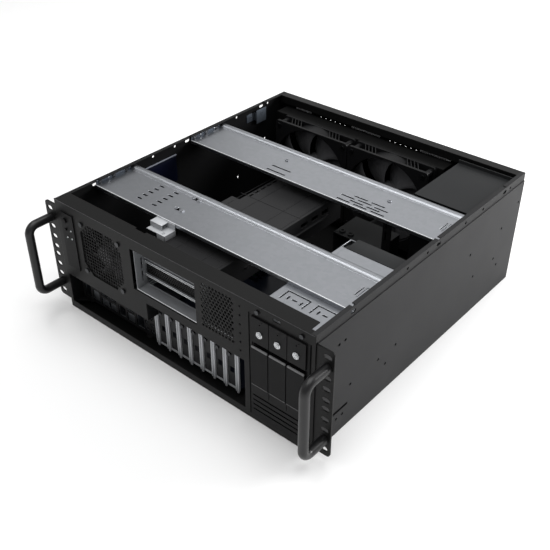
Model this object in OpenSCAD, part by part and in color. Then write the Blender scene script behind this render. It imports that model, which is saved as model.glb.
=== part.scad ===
// Front-access 4U rackmount server case with the lid off.
// X runs to the right of the front, Y to the rear and Z up. The origin is the middle of the footprint.

/* [Body] */
// Width of the body without the rack ears
body_w = 435; // [434:0.5:438]
// Height of the body
body_h = 174.5; // [174:0.5:177]
// Depth of the body from the front panel to the rear panel
body_d = 464; // [462:1:500]
// Thickness of the painted steel sheet
sheet_t = 1.2; // [1:0.1:1.4]
// Thickness of the galvanised inner sheet
inner_t = 1; // [0.8:0.1:1.2]
// Thickness of the lid that the side walls make room for
lid_t = 1; // [0.8:0.1:1.4]
// Depth of the lid's side skirt
lid_skirt = 12; // [9:0.5:14]
// Width of the hem along the top of each side wall
hem_w = 6; // [5:0.5:7]
// Depth of the flange along the top of the front panel
front_flange = 22; // [14:1:26]
// Depth of the flange along the top of the rear panel
rear_flange = 14; // [10:1:18]

/* [Rack mounting] */
// Width across the rack ears
rack_w = 482.6; // [482:0.1:483.4]
// Distance between the two columns of rack slots
rack_pitch = 465.1; // [464.8:0.1:465.4]
// Height of one rack unit
rack_unit = 44.45; // [44.3:0.05:44.6]
// Thickness of the rack ears
ear_t = 2; // [1.5:0.1:2.5]
// Length of one rack slot
rack_slot_l = 10.4; // [9:0.1:12]
// Height of one rack slot
rack_slot_h = 6.8; // [6.2:0.1:7.2]
// Reach of the handles in front of the front panel
handle_reach = 42; // [38:1:50]
// Distance between the two legs of a handle
handle_pitch = 105; // [100:1:106]
// Diameter of the handle bar
handle_d = 12; // [10:0.5:13]
// Bend radius at the middle of the handle bar
handle_bend = 12; // [10:0.5:16]

/* [Cards and ports] */
// Distance between two expansion slots
slot_pitch = 20.32; // [20.1:0.02:20.5]
// Number of upright expansion slots
slot_count = 7; // [5:1:7]
// Depth of the recess for the ports and slots
recess_d = 17.5; // [14:0.5:20]
// Height of the opening in front of the slots
slot_open_h = 85; // [80:1:88]
// Height of the opening in front of the ports
port_open_h = 57.4; // [54:0.5:60]
// Length of the long expansion card
card_l = 268; // [200:1:290]
// Height of the long expansion card's shell
card_h = 38; // [30:1:39]

/* [Fans] */
// Size of the front fan
front_fan = 80; // [78:1:80]
// Size of each rear fan
rear_fan = 140; // [136:1:141]
// Depth of the fan frames
fan_depth = 25; // [22:1:26]
// Distance between the two rear fans
rear_fan_pitch = 142; // [141:1:144]
// Distance from the back of the case to the front of the rear fans
rear_fan_back = 62; // [58:1:66]

/* [Drive bays] */
// Number of drive trays
tray_count = 3; // [3:1:3]
// Distance between two drive trays
tray_pitch = 26; // [25.8:0.1:26.4]
// Height of a drive tray
tray_h = 111; // [109.5:0.5:112]
// Depth of a drive tray
tray_d = 160; // [150:1:164]
// Depth of the drive cage
cage_d = 188; // [182:1:196]

/* [Crossbars] */
// Width of each crossbar from front to rear
bar_w = 76; // [72:1:80]
// Distance from the front panel to the front crossbar
front_bar_y = 66; // [62:1:68]
// Distance from the back of the case to the front edge of the rear crossbar
rear_bar_back = 218; // [212:1:224]
// Height of the bead along each crossbar
bead_h = 3.4; // [2.5:0.1:4]

/* [Hidden] */
$fn = 48;

// Overrun of every cut, and the clearances between neighbours
over = 1;
fit = 0.3;
run = 0.08;

// Frame of reference: the front panel lies at zero before the whole is moved to the middle
mid_y = (body_d - handle_reach) / 2;
half_w = body_w / 2;
wall_in = half_w - sheet_t;
ledge_z = body_h - lid_skirt;
strip_out = half_w - lid_t;
strip_in = strip_out - sheet_t;
rear_in = body_d - sheet_t;
board_seat = 9.7;
board_t = 1.6;
board_z = sheet_t + board_seat;
board_top = board_z + board_t;

// Rack ears
ear_h = 153;
ear_leg = 25;
ear_corner = 5;
rack_drop = 1.4;
rack_first = 6.35;
rack_step = 15.875;
slot_places = [[0, 1], [1, 0], [1, 1], [1, 2], [2, 0], [2, 1], [2, 2], [3, 1]];
ear_mid_z = 2 * rack_unit - rack_drop;
ear_z0 = ear_mid_z - ear_h / 2;
ear_z1 = ear_mid_z + ear_h / 2;
handle_screw_d = 4;
handle_screw_l = 10;

// Fasteners
m3_d = 3;
m3_head_d = 5.6;
m3_head_h = 1.8;
m3_l = 4;

// Control strip, placed from the left edge and the bottom
strip_w = 25;
strip_margins = [17.6, 14.5];
strip_z = [port_open_h + strip_margins[0], body_h - strip_margins[1]];
strip_inset = 10.4;
strip_x = strip_inset - half_w;
strip_proud = 1.4;
strip_lip = 3;
button_inset = 8;
button_x = strip_x + button_inset;
power_drop = 12;
power_z = strip_z[1] - power_drop;
power_d = 7.5;
power_travel = 1.5;
reset_drop = 25;
reset_z = strip_z[1] - reset_drop;
reset_d = 4;
reset_travel = 1;
button_proud = 1.2;
lens_d = 2;
lens_places = [[8, 38], [16.8, 25.6], [16.8, 37.2]];
strip_board = [11, 48, 1.6];
strip_posts = [[20.5, 8], [20.5, 45]];
strip_post_d = 4;
switch_w = 6;

// Front fan and its grille, placed from the left edge and the bottom
fan_inset = 87;
fan_x = fan_inset - half_w;
fan_share = 0.5194;
fan_z = port_open_h + sheet_t + fan_share * (body_h - port_open_h - sheet_t);
grille_half = 39.4;
grille_cut = 16;
mesh_pitch = 4.9;
mesh_web = 1;
grille_t = 0.8;
hole_share = 0.447;

// Riser opening and its galvanised pocket
riser_x = [-72.3, 39.5];
riser_margins = [13, 16.5];
riser_z = [slot_open_h + riser_margins[0], body_h - riser_margins[1]];
riser_h = riser_z[1] - riser_z[0];
riser_gap = 5.2;
riser_sill = 1.4;
riser_floor = riser_z[0] + riser_sill;
riser_bar_shares = [0.283, 0.622];
riser_bars = riser_bar_shares * riser_h + [riser_z[0], riser_z[0]];
riser_bar_h = 3;
riser_slot_shares = [[0.15, 0.4], [0.467, 0.733]];
riser_slot_y = [10.2, 13.2];

// Round vent in the front panel
vent_x = [51, 99];
vent_margins = [19, 8.5];
vent_z = [slot_open_h + vent_margins[0], body_h - vent_margins[1]];
vent_pitch = 5.3;
vent_hole = 4.1;
column_x = 110.3;
column_margins = [12.1, 13.6];
column_count = 6;
column_z = slot_open_h + column_margins[0];
column_step = (body_h - column_margins[1] - column_z) / (column_count - 1);
column_d = 3;

// Port and slot recess
recess_x = [-212, 115.5];
recess_step_x = -51;
recess_floor = 10.7;
divider_w = 6;
divider_x = -54.7;
divider_proud = 1.5;
slot_top_gap = 5;
slot_top = slot_open_h - slot_top_gap;
slot_bottom = 11;
slot_band = 2.7;
slot_tip = 4.5;
cover_t = 0.9;
cover_w = 18.4;
cover_hole = [7, 9];
cover_hole_z = 36;
cover_screw_drop = 20;
cover_screw_z = slot_top - cover_screw_drop;
cover_tab = 11;
shield_x = [-211, -58];
shield_z = [11, 55.5];

// Ports: left edge, lower edge, width and height of each opening, from the shield's lower left corner
ports = [
  [6, 4, 13, 34], [23, 4, 14, 17], [23, 24, 14, 14], [41, 4, 32, 12], [41, 20, 15, 7], [59, 20, 14, 14],
  [77, 4, 14, 17], [95, 4, 16, 14], [95, 20, 14, 16], [114, 4, 15, 30]
];
port_depth = 18;
port_wall = 1;
audio_x = 134;
audio_step = 11;
audio_d = 6.4;
audio_z = [9, 20, 31];

// Drive bay
bay_insets = [92.6, 7.3];
bay_x = [half_w - bay_insets[0], half_w - bay_insets[1]];
bay_margins = [8.5, 15];
bay_z = [bay_margins[0], body_h - bay_margins[1]];
bay_rim = 4.4;
bay_wall = 1.4;
tray_w = tray_pitch - 0.8 * sheet_t;
tray_x0 = (bay_x[0] + bay_x[1] - tray_count * tray_pitch) / 2;
tray_gap = 1.3;
tray_z = bay_z[1] - tray_gap - tray_h;
tray_face_d = 10;
tray_face_y = 0.6;
tray_rail_h = 4;
tray_rail_w = 18;
lever_rise = [12.3, 70.3];
lever_z = [tray_z + lever_rise[0], tray_z + lever_rise[1]];
lever_t = 2.8;
lever_y = -3.6;
lever_bevel = 2.2;
lever_gap = 5.5;
lever_ear = 1.6;
lever_pin_d = 1.4;
lock_rise = 90.3;
lock_z = tray_z + lock_rise;
lock_d = 9;
lock_proud = 1.6;
lock_l = 8;
key_slot = [1.2, 5];
led_rise = 103.8;
led_z = tray_z + led_rise;
led_d = 2;
louvre_count = 5;
louvre_lead_share = 0.23;
louvre_step = (tray_z - bay_z[0]) / (louvre_count + louvre_lead_share);
louvre_h = 2.2;
louvre_d = 1.4;
drive_y = 13;
drive_gap = 0.7;
drive_size = [20.2, tray_d - drive_y, tray_h - 2 * tray_rail_h - 2 * drive_gap];
backplane_t = 1.6;
backplane_gap = 4;
backplane_y = tray_d + backplane_gap;
cage_drop = 12.5;
cage_top = body_h - cage_drop;
cage_x0 = bay_x[0] - inner_t;
cage_cut = 1.6;
cage_ledge = 168;

// Crossbars
rear_bar_y = body_d - rear_bar_back;
bar_drop = 7;
bar_top = body_h - bar_drop;
bar_lip = 5.4;
bar_half = strip_in;
bar_tail = 5.2;
bead_w = 14;
bar_flange = 5.6;
bar_screw_shares = [0.1, 0.42, 0.72];
extension_x = 133;
extension_w = 21;
extension_drop = 2;

// Rear fans
rear_fan_y = body_d - rear_fan_back;
rear_fan_mid = -40;
rear_fans = [rear_fan_mid - rear_fan_pitch / 2, rear_fan_mid + rear_fan_pitch / 2];
rear_fan_z = body_h / 2;
fan_flange = 4;
fan_wall = 2;
fan_hole_inset_share = 0.0545;
fan_hole_d = 4.3;
fan_corner = 5;
fan_post_d = 9;
hub_share = 0.36;
hub_base = 3;
hub_rim = 4;
blade_lip = 0.6;
slat_t = 1.2;
slat_l = 22;
slat_angle = 35;
slat_shares = [0.2, 0.043];
blade_count = 7;
blade_gap = 1;
blade_span = 4.5;
blade_twist = 48;
blade_sweep = 16;
blade_stations = 4;
blade_slices = 6;
strut_w = 4;
shaft_d = 3;
bracket_y = rear_fan_y + fan_depth + fit;
bracket_top = rear_fan_z + rear_fan / 2;
bracket_depth = 27;
rear_vent_pitch = 12;
rear_vent_hole = 10.4;

// Power supply
psu_drop = 24.5;
psu_size = [86, 140, body_h - psu_drop];
psu_gap = 1.6;
psu_x = wall_in - psu_gap - psu_size[0];
psu_y = rear_in - psu_size[1];
psu_cover_drop = 6.5;
psu_cover_top = body_h - psu_cover_drop;
psu_cover_back = [138, 22];
psu_cover_y = [body_d - psu_cover_back[0], body_d - psu_cover_back[1]];
psu_upstand = 5;

// Board and cards
board_size = [305, 244];
board_x = -213.5;
board_y = recess_d + 2.5;
card_x = [-61, 35.3];
card_drop = 24.5;
card_top = body_h - card_drop;
card_y = recess_d + inner_t + cover_t + fit;

// A box between two corners
module block(lo, hi) {
  translate(lo)
    cube(hi - lo);
}

// A flat rectangle between two corners
module patch(lo, hi) {
  translate(lo)
    square(hi - lo);
}

// A rectangle with round corners
module rounded(lo, hi, r) {
  patch([lo[0] + r, lo[1]], [hi[0] - r, hi[1]]);
  patch([lo[0], lo[1] + r], [hi[0], hi[1] - r]);
  for (x = [lo[0] + r, hi[0] - r], y = [lo[1] + r, hi[1] - r])
    translate([x, y])
      circle(r);
}

// A slot with round ends, along the first axis
module oblong(l, h) {
  square([l - h, h], center = true);
  for (side = [-1, 1])
    translate([side * (l - h) / 2, 0])
      circle(h / 2);
}

// Sheets that face the front, the side and upwards
module front_sheet(y, t) {
  translate([0, y + t, 0])
    rotate([90, 0, 0])
      linear_extrude(t)
        children();
}

module side_sheet(x, t) {
  translate([x, 0, 0])
    rotate([90, 0, 90])
      linear_extrude(t)
        children();
}

module flat_sheet(z, t) {
  translate([0, 0, z])
    linear_extrude(t)
      children();
}

// Rods along X and Y
module rod_x(x, y, z, l, d) {
  translate([x, y, z])
    rotate([0, 90, 0])
      cylinder(d = d, h = l);
}

module rod_y(x, y, z, l, d) {
  translate([x, y, z])
    rotate([-90, 0, 0])
      cylinder(d = d, h = l);
}

// Puts the front panel's plane where the footprint needs it
module placed() {
  translate([0, -mid_y, 0])
    children();
}

// A hexagonal field of holes inside a rectangle
module hex_field(lo, hi, pitch, hole) {
  row = pitch * sin(60);
  for (j = [0:floor((hi[1] - lo[1]) / row)])
    for (i = [0:floor((hi[0] - lo[0]) / pitch) - (j % 2)])
      translate([lo[0] + (i + (j % 2) / 2) * pitch, lo[1] + j * row])
        rotate(30)
          circle(d = hole, $fn = 6);
}

// A hexagonal field of holes inside a circle
module hex_disc(r, pitch, hole) {
  row = pitch * sin(60);
  n = ceil(r / row);
  for (j = [-n:n], i = [-n:n]) {
    x = (i + (abs(j) % 2) / 2) * pitch;
    y = j * row;
    if (norm([x, y]) + hole / 2 <= r)
      translate([x, y])
        rotate(30)
          circle(d = hole, $fn = 6);
  }
}

// Base pan: floor with raised seats under the board's standoffs
pad_d = 12;
pad_h = 3.2;
stand_shares = [[0.033, 0.433, 0.934], [0.026, 0.529, 0.959]];
stand_places = [for (y = stand_shares[1], x = stand_shares[0]) [x * board_size[0], y * board_size[1]]];

module base_pan() {
  color("#26272a") placed() {
    block([-wall_in, sheet_t, 0], [wall_in, rear_in, sheet_t]);
    for (p = stand_places)
      translate([board_x + p[0], board_y + p[1], sheet_t])
        cylinder(d1 = pad_d, d2 = pad_d * 2 / 3, h = pad_h);
  }
}

// Side walls: a sheet with a joggled strip for the lid and a hem, with the holes for slide rails
wall_hole_d = 4;
wall_holes = [
  [42, 137.3], [53, 137.3], [68, 62], [124, 62], [161, 62], [141, 44.6], [43.5, 24], [55.5, 24]
];
rear_wall_holes = [[134, 107], [49, 108], [116, 63], [59, 63], [46, 46.6], [8, 132]];
strip_hole_d = 4;
strip_holes = [172, 215];
rear_strip_holes = [160, 116, 42];
keyholes = [66];
rear_keyholes = [224, 58];
keyhole_l = 9;
keyhole_h = 5;
hem_gap_w = 5;
wall_slot = [50, 35];
wall_slot_l = 30;
wall_slot_h = 4;

// Depths measured from the front panel, then those measured from the back of the case
function both_ends(front, rear) = concat(front, [for (d = rear) body_d - d]);

module side_wall() {
  difference() {
    union() {
      side_sheet(wall_in, sheet_t)
        patch([sheet_t, 0], [rear_in, ledge_z]);
      block([strip_in, sheet_t, ledge_z - sheet_t], [half_w, rear_in, ledge_z]);
      side_sheet(strip_in, sheet_t)
        patch([sheet_t, ledge_z - sheet_t], [rear_in, body_h]);
      block([strip_out - hem_w, sheet_t, body_h - sheet_t], [strip_out, rear_in, body_h]);
    }
    block([wall_in - over, 0, ear_z0 - fit], [half_w + over, 2 * sheet_t + ear_t + fit, ear_z1 + fit]);
    for (y = both_ends(keyholes, rear_keyholes))
      block([strip_out - hem_w - over, y, body_h - sheet_t - over],
        [strip_in, y + hem_gap_w, body_h + over]);
    for (p = concat(wall_holes, [for (q = rear_wall_holes) [body_d - q[0], q[1]]]))
      rod_x(wall_in - over, p[0], p[1], sheet_t + 2 * over, wall_hole_d);
    side_sheet(wall_in - over, sheet_t + 2 * over)
      translate(wall_slot)
        oblong(wall_slot_l, wall_slot_h);
    for (y = both_ends(strip_holes, rear_strip_holes))
      rod_x(strip_in - over, y, body_h - lid_skirt / 2, sheet_t + 2 * over, strip_hole_d);
    side_sheet(strip_in - over, sheet_t + 2 * over)
      for (y = both_ends(keyholes, rear_keyholes))
        translate([y, body_h - lid_skirt / 2])
          oblong(keyhole_l, keyhole_h);
  }
}

module right_side_wall() {
  color("#4a4b4d") placed()
    side_wall();
}

module left_side_wall() {
  color("#4a4b4d") placed()
    mirror([1, 0, 0])
      side_wall();
}

// Rear panel: two vent fields behind the rear fans, a row of holes and raised bars over them,
// and an opening for the power supply
psu_open_inset = 4;
rear_dots = [-137, -4];
rear_dot_count = 6;
rear_dot_step = 9.5;
rear_dot_d = 2.4;
rear_dot_drop = 22.5;
rear_bars = [[-171, 32], [-47.5, 55], [77.5, 53]];
rear_bar_h = 4;
rear_bar_drop = 18.5;

module rear_panel() {
  color("#2b2c2e") placed() {
    front_sheet(rear_in, sheet_t)
      difference() {
        patch([-half_w, 0], [half_w, ledge_z]);
        for (x = rear_fans)
          translate([x, rear_fan_z])
            hex_disc(rear_fan / 2 - fan_flange, rear_vent_pitch, rear_vent_hole);
        for (x = rear_dots, k = [0:rear_dot_count - 1])
          translate([x + k * rear_dot_step, body_h - rear_dot_drop])
            circle(d = rear_dot_d);
        patch([psu_x + psu_open_inset, sheet_t + psu_open_inset],
          [psu_x + psu_size[0] - psu_open_inset, sheet_t + psu_size[2] - psu_open_inset]);
      }
    front_sheet(rear_in, sheet_t)
      patch([-strip_out, ledge_z - sheet_t], [strip_out, body_h]);
    front_sheet(rear_in - sheet_t, sheet_t)
      for (b = rear_bars)
        translate([b[0], body_h - rear_bar_drop])
          oblong(b[1], rear_bar_h);
    block([-strip_out + hem_w + fit, body_d - rear_flange, body_h - sheet_t],
      [strip_out - hem_w - fit, body_d, body_h]);
    block([-strip_out + hem_w + fit, body_d - rear_flange, body_h - 2 * hem_w],
      [strip_out - hem_w - fit, body_d - rear_flange + sheet_t, body_h]);
  }
}

// Front panel: the plate with every opening, and its flange along the top
countersink_d = 7;
bay_screw_x = [136.8, 199.2];
bay_screw_drop = 9.1;
bay_screw_z = body_h - bay_screw_drop;
mark_x = [159, 169.5];
mark_drop = [9.5, 5.9];
flange_notch = [-81, -63, 3];

module octagon(h, c) {
  polygon([
    [-h, -h + c], [-h + c, -h], [h - c, -h], [h, -h + c], [h, h - c], [h - c, h], [-h + c, h], [-h, h - c]
  ]);
}

module front_panel_face() {
  difference() {
    patch([-half_w, 0], [half_w, body_h]);
    patch([strip_x, strip_z[0]], [strip_x + strip_w, strip_z[1]]);
    translate([fan_x, fan_z])
      octagon(grille_half, grille_cut);
    for (i = [-1, 1], j = [-1, 1])
      translate([fan_x + i * front_fan * hole_share, fan_z + j * front_fan * hole_share])
        circle(d = fan_hole_d);
    patch([riser_x[0], riser_z[0]], [riser_x[1], riser_z[1]]);
    hex_field([vent_x[0], vent_z[0]], [vent_x[1], vent_z[1]], vent_pitch, vent_hole);
    for (k = [0:column_count - 1])
      translate([column_x, column_z + k * column_step])
        circle(d = column_d);
    patch([recess_x[0], recess_floor], [recess_x[1], port_open_h]);
    patch([recess_step_x, recess_floor], [recess_x[1], slot_open_h]);
    patch([bay_x[0], bay_z[0]], [bay_x[1], bay_z[1]]);
    for (x = bay_screw_x)
      translate([x, bay_screw_z])
        circle(d = m3_d + fit);
    patch([mark_x[0], body_h - mark_drop[0]], [mark_x[1], body_h - mark_drop[1]]);
  }
}

module front_panel() {
  color("#2a2a2b") placed() {
    front_sheet(0, sheet_t)
      front_panel_face();
    difference() {
      block([-strip_out + hem_w + fit, 0, body_h - sheet_t],
        [strip_out - hem_w - fit, front_flange, body_h]);
      block([flange_notch[0], front_flange - flange_notch[2], body_h - sheet_t - over],
        [flange_notch[1], front_flange + over, body_h + over]);
      block([half_w - 2 * hem_w, front_flange / 3, body_h - sheet_t - over],
        [half_w, front_flange + over, body_h + over]);
    }
  }
}

// Recess behind the lower front: cheeks, ceilings and the corner gusset
gusset = 19;

module io_recess() {
  back = recess_d;
  step = divider_w / 2 + fit;
  color("#1d1d1f") placed()
    difference() {
      union() {
        block([recess_x[0] - sheet_t, sheet_t, sheet_t], [recess_x[0], back, port_open_h + sheet_t]);
        block([recess_x[0] - sheet_t, sheet_t, port_open_h], [recess_step_x, back, port_open_h + sheet_t]);
        block([recess_step_x - sheet_t, sheet_t, port_open_h],
          [recess_step_x, back, slot_open_h + sheet_t]);
        block([recess_step_x - sheet_t, sheet_t, slot_open_h],
          [recess_x[1] + sheet_t, back, slot_open_h + sheet_t]);
        block([recess_x[1], sheet_t, sheet_t], [recess_x[1] + sheet_t, back, slot_open_h + sheet_t]);
        flat_sheet(recess_floor - sheet_t, sheet_t)
          polygon([[recess_x[0], sheet_t], [recess_x[0] + gusset, back], [recess_x[0], back]]);
      }
      block([divider_x - step, back - divider_proud - fit, port_open_h - over],
        [divider_x + step, back + over, slot_open_h - over]);
    }
}

// Port shield: a thin plate with the cut-outs of the board's ports
shield_t = 0.8;
shield_rib = 6;
shield_rib_count = 9;

module port_cuts(grow) {
  for (p = ports)
    patch([shield_x[0] + p[0] - grow, shield_z[0] + p[1] - grow],
      [shield_x[0] + p[0] + p[2] + grow, shield_z[0] + p[1] + p[3] + grow]);
  for (z = audio_z)
    for (i = [0, 1])
      if (audio_x + i * audio_step < shield_x[1] - shield_x[0] - audio_d)
        translate([shield_x[0] + audio_x + i * audio_step, shield_z[0] + z])
          circle(d = audio_d + 2 * grow);
}

module io_shield() {
  color("#232427") placed()
    front_sheet(recess_d, shield_t)
      difference() {
        patch([shield_x[0], shield_z[0]], [shield_x[1], shield_z[1]]);
        port_cuts(0);
      }
}

// Ports of the board: metal shells behind the shield
module io_ports() {
  color("#6f7276") placed() {
    for (p = ports) {
      x = shield_x[0] + p[0];
      z = shield_z[0] + p[1];
      difference() {
        block([x + fit, recess_d + shield_t + fit, board_top],
          [x + p[2] - fit, recess_d + port_depth, z + p[3] - fit]);
        block([x + port_wall + fit, recess_d, z + port_wall],
          [x + p[2] - port_wall - fit, recess_d + port_depth * 2 / 3, z + p[3] - port_wall - fit]);
      }
    }
    audio_w = audio_step + audio_d;
    difference() {
      block([shield_x[0] + audio_x - audio_d / 2, recess_d + shield_t + fit, board_top],
        [shield_x[0] + audio_x - audio_d / 2 + audio_w, recess_d + port_depth,
        shield_z[0] + audio_z[2] + audio_d / 2]);
      for (z = audio_z, i = [0, 1])
        rod_y(shield_x[0] + audio_x + i * audio_step, recess_d, shield_z[0] + z,
          port_depth * 2 / 3, audio_d * 0.6);
    }
  }
}

// Slot frame: galvanised plate with raised dividers between the upright slots
module divider() {
  half = divider_w / 2;
  groove = divider_w / 6;
  polygon([
    [-half, 0], [-half, -divider_proud], [-groove, -divider_proud], [-groove, -divider_proud / 3],
    [groove, -divider_proud / 3], [groove, -divider_proud], [half, -divider_proud], [half, 0]
  ]);
}

module slot_frame() {
  x0 = divider_x - divider_w;
  x1 = divider_x + slot_count * slot_pitch + divider_w;
  y = recess_d;
  color("#8f9296") placed() {
    front_sheet(y, inner_t)
      difference() {
        patch([x0 + divider_w / 2, slot_bottom - slot_band],
          [x1 - divider_w / 2, slot_top + 3 * slot_band]);
        for (i = [0:slot_count - 1])
          patch([divider_x + i * slot_pitch + divider_w / 2, slot_bottom],
            [divider_x + (i + 1) * slot_pitch - divider_w / 2, slot_top]);
      }
    for (i = [0:slot_count])
      translate([divider_x + i * slot_pitch, y, slot_bottom - slot_band])
        linear_extrude(slot_top - slot_bottom + 2 * slot_band)
          divider();
    for (i = [0:slot_count])
      block([divider_x + i * slot_pitch - divider_w / 4, y - divider_proud / 2, slot_tip],
        [divider_x + i * slot_pitch + divider_w / 4, y + inner_t, slot_bottom]);
  }
}

// Blank covers of the upright slots, with the tab that turns over at the top
module slot_cover() {
  y = recess_d + inner_t;
  difference() {
    union() {
      front_sheet(y, cover_t)
        patch([-cover_w / 2, slot_bottom - slot_band], [cover_w / 2, slot_top + 2 * slot_band]);
      block([-cover_w / 2, y, slot_top + 2 * slot_band - cover_t],
        [cover_w / 2, y + cover_tab, slot_top + 2 * slot_band]);
    }
    front_sheet(y - over, cover_t + 2 * over)
      patch([-cover_hole[0] / 2, cover_hole_z - cover_hole[1] / 2],
        [cover_hole[0] / 2, cover_hole_z + cover_hole[1] / 2]);
    rod_y(-cover_hole[0] / 2, y - over, cover_screw_z, cover_t + 2 * over, m3_d + fit);
  }
}

module slot_covers() {
  color("#1b1b1d") placed()
    for (i = [0:slot_count - 1])
      translate([divider_x + (i + 0.5) * slot_pitch, 0, 0])
        slot_cover();
}

// Riser pocket: galvanised box with two level slots in its rear
module riser_slot_frame() {
  x0 = riser_x[0] + riser_gap;
  x1 = riser_x[1] + riser_gap;
  z1 = riser_z[1] + riser_gap;
  y1 = recess_d + inner_t;
  color("#9a9da2") placed() {
    difference() {
      side_sheet(x0, inner_t)
        patch([sheet_t, riser_floor - inner_t], [y1, z1]);
      side_sheet(x0 - over, inner_t + 2 * over)
        for (s = riser_slot_shares)
          patch([riser_slot_y[0], riser_z[0] + s[0] * riser_h],
            [riser_slot_y[1], riser_z[0] + s[1] * riser_h]);
    }
    side_sheet(x1 - inner_t, inner_t)
      patch([sheet_t, riser_floor - inner_t], [y1, z1]);
    block([x0, sheet_t, riser_floor - inner_t], [x1, y1, riser_floor]);
    block([x0, sheet_t, z1 - inner_t], [x1, y1, z1]);
    difference() {
      front_sheet(recess_d, inner_t)
        patch([x0, riser_floor - inner_t], [x1, z1]);
      front_sheet(recess_d - over, inner_t + 2 * over) {
        patch([x0 + inner_t, riser_floor + inner_t], [x1 - 2 * inner_t, riser_bars[0] - riser_bar_h / 2]);
        patch([x0 + inner_t, riser_bars[0] + riser_bar_h / 2],
          [x1 - 2 * inner_t, riser_bars[1] - riser_bar_h / 2]);
      }
    }
    for (z = riser_bars)
      rod_x(x0 + inner_t / 2, recess_d + inner_t - riser_bar_h / 2, z, x1 - x0 - inner_t, riser_bar_h);
  }
}

// Perforated cover of the upper riser slot
riser_cover_pitch = 3.4;
riser_cover_hole = 2.2;

module riser_slot_cover() {
  x0 = riser_x[0] + riser_gap + 2 * inner_t;
  x1 = riser_x[1] + riser_gap - 3 * inner_t;
  z0 = riser_bars[0] + riser_bar_h / 2 + fit;
  z1 = riser_bars[1] - riser_bar_h / 2 - fit;
  edge = riser_cover_pitch;
  color("#202123") placed()
    front_sheet(recess_d + inner_t, cover_t)
      difference() {
        patch([x0, z0 - edge], [x1, z1 + edge]);
        hex_field([x0 + edge, z0 + edge], [x1 - edge, z1 - edge / 2], riser_cover_pitch, riser_cover_hole);
      }
}

// Grille behind the fan opening: square mesh inside an octagon
module fan_grille() {
  n = floor(grille_half / mesh_pitch);
  hole = mesh_pitch - mesh_web;
  color("#1f1f20") placed()
    front_sheet(sheet_t, grille_t)
      difference() {
        translate([fan_x, fan_z])
          square(front_fan, center = true);
        for (i = [-n:n - 1], j = [-n:n - 1]) {
          x = (i + 0.5) * mesh_pitch;
          z = (j + 0.5) * mesh_pitch;
          if (abs(x) + abs(z) < 2 * grille_half - grille_cut - hole / 2)
            translate([fan_x + x, fan_z + z])
              square(hole, center = true);
        }
        for (i = [-1, 1], j = [-1, 1])
          translate([fan_x + i * front_fan * hole_share, fan_z + j * front_fan * hole_share])
            circle(d = fan_hole_d);
      }
}

// Fan frame: two flanges with corner posts and slats round a duct, and the motor plate on four struts
module fan_frame(size, depth, slats) {
  bore = size - 2 * fan_wall;
  inset = size * (0.5 - hole_share);
  hub = size * hub_share;
  difference() {
    union() {
      for (z = [0, depth - fan_flange])
        translate([0, 0, z])
          linear_extrude(fan_flange)
            rounded([-size / 2, -size / 2], [size / 2, size / 2], fan_corner);
      cylinder(d = size - fan_wall / 4, h = depth, $fn = 96);
      for (i = [-1, 1], j = [-1, 1])
        translate([i * (size / 2 - inset), j * (size / 2 - inset), 0])
          cylinder(d = fan_post_d, h = depth);
      for (turn = [0, 180], side = [-1, 1], k = [0:slats - 1])
        rotate(turn)
          translate([side * (slat_shares[0] + k * slat_shares[1]) * size, -size / 2, depth / 2])
            rotate([0, -slat_angle, 0])
              translate([-slat_t / 2, 0, -slat_l / 2])
                cube([slat_t, size / 5, slat_l]);
    }
    translate([0, 0, -over])
      cylinder(d = bore, h = depth + 2 * over, $fn = 96);
    for (i = [-1, 1], j = [-1, 1])
      translate([i * (size / 2 - inset), j * (size / 2 - inset), -over])
        cylinder(d = fan_hole_d, h = depth + 2 * over);
  }
  translate([0, 0, depth - hub_base])
    cylinder(d = hub, h = hub_base);
  difference() {
    for (a = [45:90:315])
      rotate(a)
        translate([hub / 2 - fan_wall, -strut_w / 2, depth - hub_base])
          cube([bore / 2 - hub / 2 + 1.5 * fan_wall, strut_w, hub_base]);
    translate([0, 0, depth - hub_base - over])
      cylinder(d = hub - fan_wall, h = hub_base + 2 * over);
  }
  translate([0, 0, depth / 2])
    cylinder(d = shaft_d, h = depth / 2 - hub_base / 2);
}

// Fan rotor: a domed hub on the shaft, with wide blades that twist and sweep back towards the tip
function blade_side(r0, r1, a) = [
  for (s = [0:1 / blade_stations:1])
    let (turn = a + blade_sweep * s * s)
    (r0 + s * (r1 - r0)) * [cos(turn), sin(turn)]
];
function reversed(p) = [for (i = [len(p) - 1:-1:0]) p[i]];

module fan_rotor(size, depth) {
  hub = size * hub_share;
  tip = size / 2 - fan_wall - blade_gap;
  top = hub_base / 2;
  low = depth - hub_base - blade_gap;
  rim = hub_rim;
  root = hub / 2 - fan_wall;
  difference() {
    rotate_extrude($fn = 64) {
      patch([0, top], [hub / 2 - rim, low]);
      patch([0, top + rim], [hub / 2, low]);
      translate([hub / 2 - rim, top + rim])
        intersection() {
          circle(rim);
          patch([0, -rim], [rim, 0]);
        }
    }
    translate([0, 0, depth / 2 - over])
      cylinder(d = shaft_d + 2 * run, h = depth);
  }
  for (k = [0:blade_count - 1])
    rotate(k * 360 / blade_count)
      translate([0, 0, top + rim + blade_lip])
        linear_extrude(low - top - rim - 2 * blade_lip, twist = blade_twist, slices = blade_slices,
          segments = 2 * blade_stations + 2)
          polygon(concat(blade_side(root, tip, 0), reversed(blade_side(root, tip, blade_span))));
}

// Turns a fan so that its front faces the front of the case
module facing(x, y, z) {
  translate([x, y, z])
    rotate([-90, 0, 0])
      children();
}

front_fan_y = sheet_t + grille_t;

module front_fan_frame() {
  color("#1a1a1b") placed()
    facing(fan_x, front_fan_y, fan_z)
      fan_frame(front_fan, fan_depth, 0);
}

module front_fan_rotor() {
  color("#222224") placed()
    facing(fan_x, front_fan_y, fan_z)
      fan_rotor(front_fan, fan_depth);
}

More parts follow.
